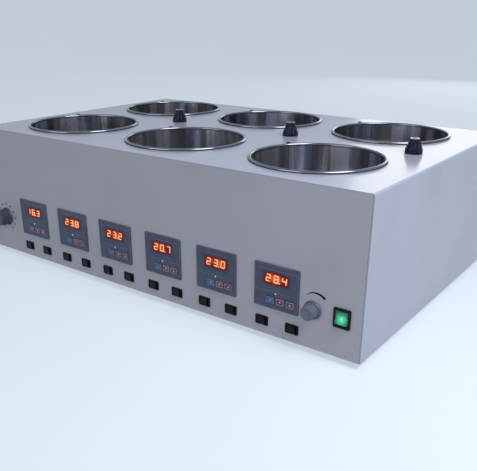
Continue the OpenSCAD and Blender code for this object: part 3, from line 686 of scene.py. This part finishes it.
# %% Overlay finish and printed lines
def flat_mark(name, outlines, front_y, thick, material, slot, body="case"):
    """Thin printed shapes on the panel: each outline is a list of (x, z) points, and they stand on front_y."""
    verts, faces = [], []
    for outline in outlines:
        first, count = len(verts), len(outline)
        verts += [(x, front_y, z) for x, z in outline]
        verts += [(x, front_y - thick, z) for x, z in outline]
        faces.append([first + n for n in range(count)])
        faces.append([first + count + n for n in range(count)][::-1])
        for n, m in neighbours(count):
            faces.append([first + n, first + m, first + count + m, first + count + n])
    mesh = make_mesh(name, verts, faces)
    mesh.materials.append(material)
    place_piece(add_object(name, mesh), body, slot)


def oblong(x, z, width, height):
    """Corners of a rectangle about a middle."""
    return [(x - width / 2, z - height / 2), (x + width / 2, z - height / 2),
            (x + width / 2, z + height / 2), (x - width / 2, z + height / 2)]


def up_face(share):
    """The height at this share of every controller's own height."""
    return housing_lo.z + share * controller_h


overlay = moulded("controller_overlay", (76, 84, 110), 0.30, grain=1800.0, depth=0.06, spread=0.05, shine=0.3)
pale_print = moulded("pale_print", (118, 128, 148), 0.5)
dress(overlay, "controller_faces")
line_w, line_t = controller_w - 7.5 * MM, 0.35 * MM
lines = [oblong(x, up_face(share), line_w, line_t) for x in controller_x for share in (0.39, 0.885)]
flat_mark("overlay_lines", lines, face_y, 0.05 * MM, pale_print, "controller_face")
print(len(lines), "printed lines")

# %% [markdown]
# ## Lit figures
#
# The readings are seven-segment figures: bars that are either lit or dark. Each lit bar becomes one
# point with an angle and a length, and a Geometry Nodes tree puts a bar with pointed ends on each point.
# The figures lean a little, as such displays do.

# %% The tree that puts bars on points
def bars_on_points():
    """A bar on each point, turned by its angle about Y and stretched to its length."""
    tree, given, output = geometry_tree("bars_on_points", [
        ("Geometry", "Geometry"), ("Bar", "Object"), ("Finish", "Material")])
    bar = add_node(tree, "GeometryNodeObjectInfo", {"transform_space": "ORIGINAL"}, Object=given["Bar"])
    angle, length = [add_node(tree, "GeometryNodeInputNamedAttribute", {"data_type": "FLOAT"},
                              Name=name).outputs["Attribute"] for name in ("angle", "length")]
    turn = add_node(tree, "FunctionNodeAxisAngleToRotation", Axis=(0, 1, 0), Angle=angle)
    size = add_node(tree, "ShaderNodeCombineXYZ", X=length, Y=1.0, Z=1.0)
    bars = add_node(tree, "GeometryNodeInstanceOnPoints", Points=given["Geometry"],
                    Instance=bar.outputs["Geometry"], Rotation=turn.outputs["Rotation"], Scale=size.outputs["Vector"])
    return end_tree(tree, bars.outputs["Instances"], given["Finish"], output)


def bar_mesh(thick, depth, point):
    """A bar of length 1 along X, with pointed ends, whose back lies on Y = 0."""
    outline = [(-0.5, 0), (-0.5 + point, -thick / 2), (0.5 - point, -thick / 2),
               (0.5, 0), (0.5 - point, thick / 2), (-0.5 + point, thick / 2)]
    verts = [(x, 0, z) for x, z in outline] + [(x, -depth, z) for x, z in outline]
    faces = [[0, 1, 2, 3, 4, 5], [11, 10, 9, 8, 7, 6]]
    faces += [[n, m, m + 6, n + 6] for n, m in neighbours(6)]
    return make_mesh("bar", verts, faces)


bar_tree = bars_on_points()
print("made the tree", bar_tree.name)

# %% Which bars are lit
BARS = {"0": "abcdef", "1": "bc", "2": "abged", "3": "abgcd", "4": "fgbc", "5": "afgcd", "6": "afgedc",
        "7": "abc", "8": "abcdefg", "9": "abcdfg"}
READINGS = ("163", "238", "232", "207", "230", "284")
figure_w, figure_h, figure_pitch = 6.8 * MM, 9.9 * MM, 11.4 * MM
bar_t, bar_over, figure_lean = 1.4 * MM, 0.5 * MM, radians(5)
reading_z, point_shift = up_face(0.69), 0.41 * figure_pitch


def bars_of(figure):
    """The lit bars of a figure about its middle, as (x, z, angle, length)."""
    side, rise = (figure_w - bar_t) / 2, (figure_h - bar_t) / 2
    across, upright = figure_w - bar_t + bar_over, rise + bar_over
    place = {"a": (0, rise, 0, across), "g": (0, 0, 0, across), "d": (0, -rise, 0, across),
             "f": (-side, rise / 2, 1, upright), "b": (side, rise / 2, 1, upright),
             "e": (-side, -rise / 2, 1, upright), "c": (side, -rise / 2, 1, upright)}
    found = []
    for name in BARS[figure]:
        x, z, stands, length = place[name]
        angle = pi / 2 + figure_lean if stands else 0.0
        found.append((x + z * tan(figure_lean), z, angle, length))
    return found


lit_bars, lit_points = [], []
for x, reading in zip(controller_x, READINGS):
    for n, figure in enumerate(reading):
        figure_x = x + (n - 1) * figure_pitch
        lit_bars += [(figure_x + bx, reading_z + bz, angle, length) for bx, bz, angle, length in bars_of(figure)]
    lit_points.append((x + point_shift, reading_z - figure_h / 2 + bar_t / 2))
print(len(lit_bars), "bars are lit")

# %% [markdown]
# The lit plastic is an emission: the colour of the bars is what the picture shows, a pale orange that is
# almost white. Around the bars the overlay glows dark red. That glow is a fine grid just over the overlay,
# with an attribute that adds up the light of all bars. Each bar's light falls off with its distance.

# %% Lit plastic, figures and points
def lit(name, colour, strength, base=(60, 20, 14)):
    """Plastic lit from behind, with a slight unevenness."""
    material, tree, shader = new_finish(name)
    uneven = noise(tree, object_place(tree), 260.0, 1.0)
    low, high = [tone(*colour, gain=gain) for gain in (0.9, 1.08)]
    plain, paler = shades(base, 1.0, 1.1)
    fill(tree, shader,
         Emission_Color=ramp(tree, uneven, [(0.35, low), (0.65, high)]),
         Base_Color=ramp(tree, uneven, [(0.35, plain), (0.65, paler)]),
         Emission_Strength=strength, Roughness=0.4)
    return material


def points_mesh(name, rows, columns):
    """Loose points at (x, y, z), each with the attributes that columns names."""
    mesh = bpy.data.meshes.new(name)
    mesh.from_pydata([row[:3] for row in rows], [], [])
    for n, column in enumerate(columns):
        mesh.attributes.new(column, "FLOAT", "POINT").data.foreach_set("value", [row[3 + n] for row in rows])
    return mesh


def dot(x, z, radius, count):
    """Points of a small circle."""
    return [(x + radius * cos(2 * pi * n / count), z + radius * sin(2 * pi * n / count)) for n in range(count)]


figure_light = lit("lit_figures", (255, 188, 142), 1.0)
figure_y, figure_t = face_y - 0.06 * MM, 0.12 * MM
bar = bpy.data.objects.new("bar", bar_mesh(bar_t, figure_t, point=0.09))
figure_rows = [(x, figure_y, z, angle, length) for x, z, angle, length in lit_bars]
figures = grow("lit_readings", points_mesh("figure_points", figure_rows, ("angle", "length")), bar_tree,
               {"Bar": bar, "Finish": figure_light})
bpy.data.objects.remove(bar)
place_piece(figures, "case", "controller_face")
dots = [dot(x, z, radius=0.9 * MM, count=16) for x, z in lit_points]
flat_mark("reading_points", dots, figure_y, figure_t, figure_light, "controller_face")
print("figures:", len(figures.data.polygons), "faces")

# %% Finish of the glowing overlay
def glow_overlay():
    """The overlay's own finish, with a red glow where the attribute glow is high."""
    material, tree, shader = new_finish("glowing_overlay")
    glow = add_node(tree, "ShaderNodeAttribute", {"attribute_name": "glow"}).outputs["Fac"]
    cloud = noise(tree, object_place(tree), 60.0, 4.0)
    slate = ramp(tree, cloud, [(0.3, tone(72, 80, 105)), (0.7, tone(80, 88, 115))])
    shade = rescaled(tree, glow, From_Min=0.03, From_Max=0.22)
    fill(tree, shader,
         Base_Color=mix_colours(tree, shade, slate, tone(20, 5, 4)),
         Emission_Color=ramp(tree, glow, [(0.03, (0, 0, 0, 1)), (0.14, tone(58, 12, 8)), (0.30, tone(92, 18, 5)),
                                          (0.45, tone(146, 36, 6)), (0.62, tone(214, 84, 26))]),
         Emission_Strength=1.0, Specular_IOR_Level=0.15, Roughness=0.30)
    return material


glow_finish = glow_overlay()
print("finish of the glow:", glow_finish.name)

# %% Glow on the overlay, and the small lamps
bar_light, glow_reach, fade_cells = 0.3, 2.4 * MM, 4
glow_y, glow_t = face_y - 0.04 * MM, 0.03 * MM
lamp_shift, lamp_z, lamp_r = -0.4 * MM, up_face(0.362), 0.8 * MM


def ends_of(x, z, angle, length):
    """Both ends of a bar, as x, z, x, z."""
    return (x - cos(angle) * length / 2, z + sin(angle) * length / 2,
            x + cos(angle) * length / 2, z - sin(angle) * length / 2)


def light_at(x, z, ends):
    """The light that all these bars throw on a point."""
    light = 0.0
    for x0, z0, x1, z1 in ends:
        along = ((x - x0) * (x1 - x0) + (z - z0) * (z1 - z0)) / ((x1 - x0) ** 2 + (z1 - z0) ** 2)
        along = min(1.0, max(0.0, along))
        gap = hypot(x - x0 - along * (x1 - x0), z - z0 - along * (z1 - z0))
        light += bar_light * exp(-gap / glow_reach)
    return light


def glow_windows(columns, rows, width, height):
    """One fine grid over each reading, with the summed light of its bars. It fades out at the grid's edge."""
    verts, faces, glow = [], [], []
    for middle_x in controller_x:
        ends = [ends_of(*b) for b in lit_bars if abs(b[0] - middle_x) < controller_w / 2]
        first, step = len(verts), columns + 1
        for row in range(rows + 1):
            for column in range(columns + 1):
                x = middle_x + (column / columns - 0.5) * width
                z = reading_z + (row / rows - 0.5) * height
                fade = (min(column, columns - column, fade_cells) / fade_cells
                        * min(row, rows - row, fade_cells) / fade_cells)
                glow.append(fade * light_at(x, z, ends))
                verts.append((x, glow_y, z))
        for row in range(rows):
            for column in range(columns):
                low = first + row * step + column
                faces.append([low, low + 1, low + step + 1, low + step])
    mesh = bpy.data.meshes.new("reading_glow")
    mesh.from_pydata(verts, [], faces)
    mesh.attributes.new("glow", "FLOAT", "POINT").data.foreach_set("value", glow)
    mesh.materials.append(glow_finish)
    piece = add_object("reading_glow", mesh)
    thick = piece.modifiers.new("thick", "SOLIDIFY")
    thick.thickness = glow_t
    thick.offset = -1
    place_piece(piece, "case", "controller_face")


glow_windows(columns=56, rows=28, width=42 * MM, height=20 * MM)
lamp_dots = [dot(x + lamp_shift, lamp_z, lamp_r, count=20) for x in controller_x]
lamp_light = lit("lit_lamp", (226, 214, 236), 0.8, base=(150, 140, 160))
flat_mark("stirring_lamps", lamp_dots, face_y, 0.4 * MM, lamp_light, "controller_face")
print("glow and", len(lamp_dots), "small lamps")

# %% [markdown]
# ## Keys
#
# Under the figures are three keys: a blue one to set, and two red ones to go down and up. A real key has
# a raised outline and a mark on a darker field. The cap is a thin plate in three levels on the key's
# front, and it rides on that key's own body, so it moves when the key is pressed.

# %% Shape of a key's cap
OUTLINE, FIELD, MARK = range(3)
cap_w, cap_h = 10.9 * MM, 7.9 * MM
# From the back to the field: how much smaller than the cap, the corners' radius and the height, in mm.
CAP_LEVELS = ((0.0, 1.1, -0.05), (0.0, 1.1, 0.14), (0.3, 1.0, 0.24), (1.7, 0.7, 0.24), (2.1, 0.6, 0.10))


def round_oblong(width, height, radius, steps=6):
    """Points of a rectangle with round corners, about the origin."""
    points = []
    for sx, sz, start in ((1, 1, 0), (-1, 1, 90), (-1, -1, 180), (1, -1, 270)):
        middle = (sx * (width / 2 - radius), sz * (height / 2 - radius))
        points += arc(middle, radius, start, start + 90, steps)
    return points


def key_mark(kind):
    """The outline of a key's mark about its middle: a small plate, or an arrow up or down."""
    if kind == "set":
        return round_oblong(3.4 * MM, 2.6 * MM, 0.6 * MM)
    up = 1 if kind == "up" else -1
    return [(-1.5 * MM, -up * 1.1 * MM), (1.5 * MM, -up * 1.1 * MM), (0.0, up * 1.5 * MM)]


print("a cap has", len(CAP_LEVELS), "outlines of", len(round_oblong(cap_w, cap_h, 1.1 * MM)), "points")

# %% Caps for the keys
def key_cap(node, kind, finishes):
    """A raised outline, a field and a mark on a key's front."""
    x, _, z = box_middle(node)
    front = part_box(node)[0].y
    bm = bmesh.new()

    def ring(points, height):
        return [bm.verts.new((x + px, front - height * MM, z + pz)) for px, pz in points]

    def wall(low, high, finish):
        for n, m in neighbours(len(low)):
            bm.faces.new((low[n], low[m], high[m], high[n])).material_index = finish

    levels = [ring(round_oblong(cap_w - less * MM, cap_h - less * MM, radius * MM), height)
              for less, radius, height in CAP_LEVELS]
    for low, high in zip(levels[:-1], levels[1:-1]):
        wall(low, high, OUTLINE)
    wall(levels[-2], levels[-1], FIELD)
    bm.faces.new(levels[-1]).material_index = FIELD
    bm.faces.new(levels[0][::-1]).material_index = OUTLINE
    low, high = [ring(key_mark(kind), height) for height in (0.08, 0.20)]
    bm.faces.new(high).material_index = MARK
    bm.faces.new(low[::-1]).material_index = MARK
    wall(low, high, MARK)
    bmesh.ops.recalc_face_normals(bm, faces=bm.faces)
    mesh = mesh_of(bm, node + "_cap")
    for finish in finishes:
        mesh.materials.append(finish)
    place_piece(add_object(mesh.name, mesh), node, "key_blue" if kind == "set" else "key_red")


key_side = moulded("key_side_plastic", (52, 58, 74), 0.4)
blue_key = [moulded("blue_key_outline", (104, 130, 176), 0.38), moulded("blue_key_field", (66, 94, 146), 0.36),
            moulded("blue_key_mark", (116, 144, 188), 0.38)]
red_key = [moulded("red_key_outline", (178, 142, 154), 0.38), moulded("red_key_field", (80, 66, 86), 0.36),
           moulded("red_key_mark", (246, 196, 200), 0.38)]
for n in POT_NUMBERS:
    for kind, finishes in (("set", blue_key), ("down", red_key), ("up", red_key)):
        dress(key_side, f"{kind}_key_{n}")
        key_cap(f"{kind}_key_{n}", kind, finishes)
print(3 * len(POT_NUMBERS), "key caps")

# %% [markdown]
# ## Power switch
#
# The power switch is a black frame with a clear green rocker that a small lamp lights from inside. The
# lamp sits a little below the middle, so the plastic is brightest there and darker towards its edges. A
# gradient from the lamp's place, on the rocker's own coordinates, gives the glow.

# %% The lit rocker
fall_off, unevenness = 90.0, 0.5


def lit_rocker(name, middle):
    """Green plastic that glows round a lamp at a middle point."""
    material, tree, shader = new_finish(name)
    place = object_place(tree)
    away = add_node(tree, "ShaderNodeVectorMath", {"operation": "DISTANCE"})
    connect(tree, away.inputs[0], place)
    connect(tree, away.inputs[1], middle)
    uneven = sums(tree, "SUBTRACT", noise(tree, place, 330.0, 3.0), 0.5)
    spread = weighted(tree, away.outputs["Value"], fall_off, uneven, unevenness)
    fill(tree, shader,
         Emission_Color=ramp(tree, spread, [(0.06, tone(128, 255, 206)), (0.22, tone(66, 214, 154)),
                                            (0.48, tone(36, 150, 108)), (0.80, tone(8, 62, 46))]),
         Base_Color=ramp(tree, spread, [(0.2, tone(40, 120, 92)), (0.9, tone(20, 70, 54))]),
         Emission_Strength=0.85, Roughness=0.22)
    return material


rocker_x, _, rocker_z = box_middle("power_rocker")
lamp_place = (rocker_x + 0.4 * MM, panel_y - 2 * MM, rocker_z - 1.5 * MM)
softened("power_rocker", 0.6 * MM, lit_rocker("lit_green_plastic", lamp_place), "lit_green", steps=3)
frame_plastic = moulded("switch_frame_plastic", (5, 24, 22), 0.34, shine=0.12)
softened("power_switch_body", 0.45 * MM, frame_plastic, "black_plastic")
print("power rocker lit at", [round(v, 4) for v in lamp_place])

# %% [markdown]
# ## Knobs
#
# Both knobs are skirted plastic knobs with a fluted grip, and fine ribs run up their skirts. A Geometry
# Nodes tree sets the ribs on a circle. The small knob sets the stirring speed. The large one is the
# timer's, and a ring of dots on the panel is its dial, set by a second tree.

# %% Ribs round a skirt
def ribs_on_circle():
    """Upright ribs on a circle, leaning inwards with the skirt."""
    tree, given, output = geometry_tree("ribs_on_circle", [
        ("Geometry", "Geometry"), ("Count", "Int"), ("Radius", "Float"), ("Rib", "Vector"), ("Lean", "Float"),
        ("Finish", "Material")])
    circle = add_node(tree, "GeometryNodeMeshCircle", Vertices=given["Count"], Radius=given["Radius"])
    rib = add_node(tree, "GeometryNodeMeshCube", Size=given["Rib"])
    place = add_node(tree, "GeometryNodeInputPosition").outputs["Position"]
    facing = add_node(tree, "FunctionNodeAlignRotationToVector", {"axis": "X", "pivot_axis": "Z"}, Vector=place)
    lean = add_node(tree, "FunctionNodeAxisAngleToRotation", Axis=(0, 1, 0), Angle=given["Lean"])
    turned = add_node(tree, "FunctionNodeRotateRotation", {"rotation_space": "LOCAL"},
                      Rotation=facing.outputs["Rotation"], Rotate_By=lean.outputs["Rotation"])
    ribs = add_node(tree, "GeometryNodeInstanceOnPoints", Points=circle.outputs["Mesh"],
                    Instance=rib.outputs["Mesh"], Rotation=turned.outputs["Rotation"])
    return end_tree(tree, ribs.outputs["Instances"], given["Finish"], output)


def on_panel(piece, x, z, out):
    """Moves a mesh that was made about Z to the panel: its Z then points out of the panel."""
    piece.data.transform(Matrix.Translation((x, panel_y - out, z)) @ Matrix.Rotation(radians(90), 4, "X"))
    return piece


rib_tree = ribs_on_circle()
rib_size, rib_lean = (0.4 * MM, 0.5 * MM, 2.2 * MM), -atan2(1.0, 2.4)
rib_inset, rib_out = 0.55 * MM, 1.8 * MM
speed_at, timer_at = [Vector(joint_of[name]["pos_m"]) for name in ("speed_knob", "timer_knob")]
for node, at, finish, slot, skirt, count in (
        ("speed_knob", speed_at, knob_grey, "grey_plastic", 23.2 * MM, 60),
        ("timer_knob", timer_at, knob_slate, "slate_plastic", 28.4 * MM, 72)):
    dress(finish, node)
    ribs = grow(node + "_ribs", bpy.data.meshes.new("start"), rib_tree, {
        "Count": count, "Radius": skirt / 2 - rib_inset, "Rib": rib_size, "Lean": rib_lean, "Finish": finish})
    place_piece(on_panel(ribs, at.x, at.z, rib_out), node, slot)
print("ribs on both skirts")

# %% Dial dots
def dots_on_arc():
    """Flat round dots along an arc."""
    tree, given, output = geometry_tree("dots_on_arc", [
        ("Geometry", "Geometry"), ("Count", "Int"), ("Radius", "Float"), ("Start", "Float"), ("Sweep", "Float"),
        ("Dot", "Float"), ("Height", "Float"), ("Finish", "Material")])
    line = add_node(tree, "GeometryNodeCurveArc", Resolution=given["Count"], Radius=given["Radius"],
                    Start_Angle=given["Start"], Sweep_Angle=given["Sweep"])
    points = add_node(tree, "GeometryNodeCurveToPoints", {"mode": "EVALUATED"}, Curve=line.outputs["Curve"])
    disc = add_node(tree, "GeometryNodeMeshCylinder", Vertices=20, Radius=given["Dot"], Depth=given["Height"])
    copies = add_node(tree, "GeometryNodeInstanceOnPoints", Points=points.outputs["Points"],
                      Instance=disc.outputs["Mesh"])
    return end_tree(tree, copies.outputs["Instances"], given["Finish"], output)


dial = grow("timer_dial_dots", bpy.data.meshes.new("start"), dots_on_arc(), {
    "Count": 11, "Radius": 21.0 * MM, "Start": radians(-60), "Sweep": radians(300), "Dot": 1.5 * MM,
    "Height": 0.1 * MM, "Finish": dark_print})
place_piece(on_panel(dial, timer_at.x, timer_at.z, out=0.03 * MM), "case", "panel_paint")
print("dial dots:", len(dial.data.polygons), "faces")

# %% [markdown]
# Over the speed knob an arc is printed that grows wider in the direction of more speed. It is an outline
# that runs along the arc's inner side and comes back along its outer side.

# %% Speed mark
ARC_STEPS, ARC_START, ARC_END = 32, 116, 48
speed_arc = []
for n in range(ARC_STEPS + 1):
    share = n / ARC_STEPS
    angle = radians(ARC_START + (ARC_END - ARC_START) * share)
    radius, width = (19.2 + 8.0 * share - 4.0 * share ** 2) * MM, (0.7 + 2.5 * share) * MM
    speed_arc.append((angle, radius, width))
crescent = [(speed_at.x + (r - w / 2) * cos(a), speed_at.z + (r - w / 2) * sin(a)) for a, r, w in speed_arc]
crescent += [(speed_at.x + (r + w / 2) * cos(a), speed_at.z + (r + w / 2) * sin(a)) for a, r, w in speed_arc[::-1]]
flat_mark("speed_mark", [crescent], panel_y, 0.06 * MM, dark_print, "panel_paint")
print("speed mark of", len(crescent), "points")

# %% [markdown]
# A pointer shows where the timer is set: a thin pale line, inlaid from the grip's rim towards its middle.
# It rides on the knob, and it starts at the left of the dial, where the knob rests. The speed knob has
# none, because its grip is plain in the picture.

# %% Pointer on the timer knob
pointer_white = moulded("pointer_white", (205, 208, 214), 0.45)
pointer_turn, tip_r, tip_y, half_w = radians(225), 10.4 * MM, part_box("timer_knob")[0].y, 0.4 * MM
root_r = 0.35 * tip_r
pointer = [(timer_at.x + u * cos(pointer_turn) - v * sin(pointer_turn),
            timer_at.z + u * sin(pointer_turn) + v * cos(pointer_turn))
           for u, v in ((root_r, -half_w), (tip_r, -half_w), (tip_r, half_w), (root_r, half_w))]
flat_mark("timer_pointer", [pointer], tip_y, 0.08 * MM, pointer_white, "grey_plastic", body="timer_knob")
print("pointer at", tip_y)

# %% [markdown]
# ## Screws and studs
#
# Small fasteners hold the case: screws along the edges of the rear panel and under the base, two on the
# mains inlet's flange, and a dark stud on the deck beside each pot. One head is modelled with its cross
# recess, and a Geometry Nodes tree sets it on points. Each point says which way its head faces, and a
# seeded random turn keeps the recesses from lining up. The cut leaves points on top of each other, so the
# tree merges them. The studs stand on the pots' grid again.

# %% The tree that sets screws on points
def screws_on_points():
    """Cuts a cross recess in a head and sets it on each point, facing as the point says."""
    tree, given, output = geometry_tree("screws_on_points", [
        ("Geometry", "Geometry"), ("Head", "Object"), ("Slot", "Vector"), ("Rise", "Float"), ("Seed", "Int"),
        ("Finish", "Material")])
    head = add_node(tree, "GeometryNodeObjectInfo", {"transform_space": "ORIGINAL"}, Object=given["Head"])
    bar = add_node(tree, "GeometryNodeMeshCube", Size=given["Slot"])
    up = add_node(tree, "ShaderNodeCombineXYZ", Z=given["Rise"])
    across = add_node(tree, "GeometryNodeTransform", Geometry=bar.outputs["Mesh"], Translation=up.outputs["Vector"])
    along = add_node(tree, "GeometryNodeTransform", Geometry=across.outputs["Geometry"], Rotation=(0, 0, pi / 2))
    cross = add_node(tree, "GeometryNodeMeshBoolean", {"operation": "DIFFERENCE", "solver": "EXACT"})
    tree.links.new(head.outputs["Geometry"], cross.inputs["Mesh 1"])
    for part in (across, along):
        tree.links.new(part.outputs["Geometry"], cross.inputs["Mesh 2"])
    clean = add_node(tree, "GeometryNodeMergeByDistance", Geometry=cross.outputs["Mesh"], Distance=join_gap)
    facing = add_node(tree, "GeometryNodeInputNamedAttribute", {"data_type": "FLOAT_VECTOR"}, Name="facing")
    upright = add_node(tree, "FunctionNodeAlignRotationToVector", {"axis": "Z"}, Vector=facing.outputs["Attribute"])
    chance = add_node(tree, "FunctionNodeRandomValue", {"data_type": "FLOAT"}, Seed=given["Seed"])
    chance.inputs[3].default_value = pi / 2  # the largest turn: the node has several sockets named Max
    spin = add_node(tree, "FunctionNodeAxisAngleToRotation", Axis=(0, 0, 1), Angle=chance.outputs[1])
    turned = add_node(tree, "FunctionNodeRotateRotation", {"rotation_space": "LOCAL"},
                      Rotation=upright.outputs["Rotation"], Rotate_By=spin.outputs["Rotation"])
    screws = add_node(tree, "GeometryNodeInstanceOnPoints", Points=given["Geometry"],
                      Instance=clean.outputs["Geometry"], Rotation=turned.outputs["Rotation"])
    return end_tree(tree, screws.outputs["Instances"], given["Finish"], output)


screw_tree = screws_on_points()
print("made the tree", screw_tree.name)

# %% Heads and their places
# The head's height and the recess's length and width, over the head's radius. Its depth, over the height.
head_high, slot_long, slot_wide, slot_deep = 0.62, 1.15, 0.24, 0.9


def head_object(radius, height):
    """A pan head without its recess, its underside on Z = 0."""
    crown = [(radius * u, height * (0.4 + 0.6 * v)) for u, v in arc((0, 0), 1.0, 75, 0, 6)]
    return bpy.data.objects.new("head", make_mesh("head", *lathe([(0, height)] + crown + [(radius, 0), (0, 0)], 24)))


def screws(name, places, radius, seed):
    """Plated screws at (place, facing) pairs, in one mesh on the case."""
    start = bpy.data.meshes.new(name + "_points")
    start.from_pydata([place for place, _ in places], [], [])
    facing = start.attributes.new("facing", "FLOAT_VECTOR", "POINT")
    facing.data.foreach_set("vector", [value for _, way in places for value in way])
    height = head_high * radius
    head = head_object(radius, height)
    piece = grow(name, start, screw_tree, {
        "Head": head, "Slot": (radius * slot_long, radius * slot_wide, height * slot_deep), "Rise": height,
        "Seed": seed, "Finish": plated}, sharp=40)
    bpy.data.objects.remove(head)
    place_piece(piece, "case", "plated_steel")


BACK, DOWN, SIDES = (0, 1, 0), (0, 0, -1), (-1, 1)
rear_y, middle_y = case_hi.y, (case_lo.y + case_hi.y) / 2
rear_inset, rear_heights, rear_top_x = 14 * MM, (0.034, 0.108, 0.186), (-0.11, 0.11)
base_inset, base_steps, inlet_hole = 6 * MM, (-0.17, -0.06, 0.06, 0.17), 19.6 * MM
rear_places = [((side * (case_hi.x - rear_inset), rear_y, z), BACK) for side in SIDES for z in rear_heights]
rear_places += [((x, rear_y, rear_heights[-1]), BACK) for x in rear_top_x]
base_places = [((side * (case_hi.x - base_inset), middle_y + y, case_lo.z), DOWN)
               for side in SIDES for y in base_steps]
inlet_x, _, inlet_z = box_middle("mains_inlet")
inlet_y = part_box("mains_inlet")[1].y
inlet_places = [((inlet_x + side * inlet_hole, inlet_y, inlet_z), BACK) for side in SIDES]
screws("case_screws", rear_places + base_places, radius=3.4 * MM, seed=3)
screws("inlet_screws", inlet_places, radius=2.6 * MM, seed=8)
print(len(rear_places) + len(base_places) + len(inlet_places), "screws")

# %% Studs on the deck
stud_outline = [(0, 4.0 * MM)] + arc((1.8 * MM, 2.8 * MM), 1.2 * MM, 90, 0, 6)
stud_outline += [(3.0 * MM, 0.7 * MM), (3.4 * MM, 0.6 * MM), (3.4 * MM, -0.05 * MM), (0, -0.05 * MM)]
stud_turn, stud_r = radians(145), 93 * MM
stud_middle = pot_grid_middle + Vector((stud_r * cos(stud_turn), stud_r * sin(stud_turn), 0))
one_stud = make_mesh("one_stud", *lathe(stud_outline, 24), sharp=50)
studs = at_each_pot("deck_studs", one_stud, (stud_middle.x, stud_middle.y, deck_z), nut_plastic)
place_piece(studs, "case", "black_plastic")
print("six deck studs at radius", stud_r)

# %% [markdown]
# ## Inside the case
#
# Nothing inside shows in the picture, but the vents let a viewer look in, and someone may take the case
# apart. The heaters, motors, magnets and units get the finishes that such parts have: cast aluminium,
# dark enamel, bright steel, a green board and pale plastic.

# %% Finishes of the inner parts
dress(moulded("heater_aluminium", (168, 160, 142), 0.5, grain=250.0, depth=0.3, metal=1.0), "heater_rings")
dress(moulded("motor_enamel", (58, 60, 64), 0.35), "stirrer_motors")
dress(moulded("rotor_steel", (120, 122, 130), 0.35, metal=1.0), *[f"magnet_rotor_{n}" for n in POT_NUMBERS])
dress(moulded("board_lacquer", (34, 92, 58), 0.4), "speed_control_unit")
dress(moulded("timer_case_plastic", (196, 190, 172), 0.5), "timer_unit")
print("dressed the inside;", len(bpy.data.materials), "finishes in all")
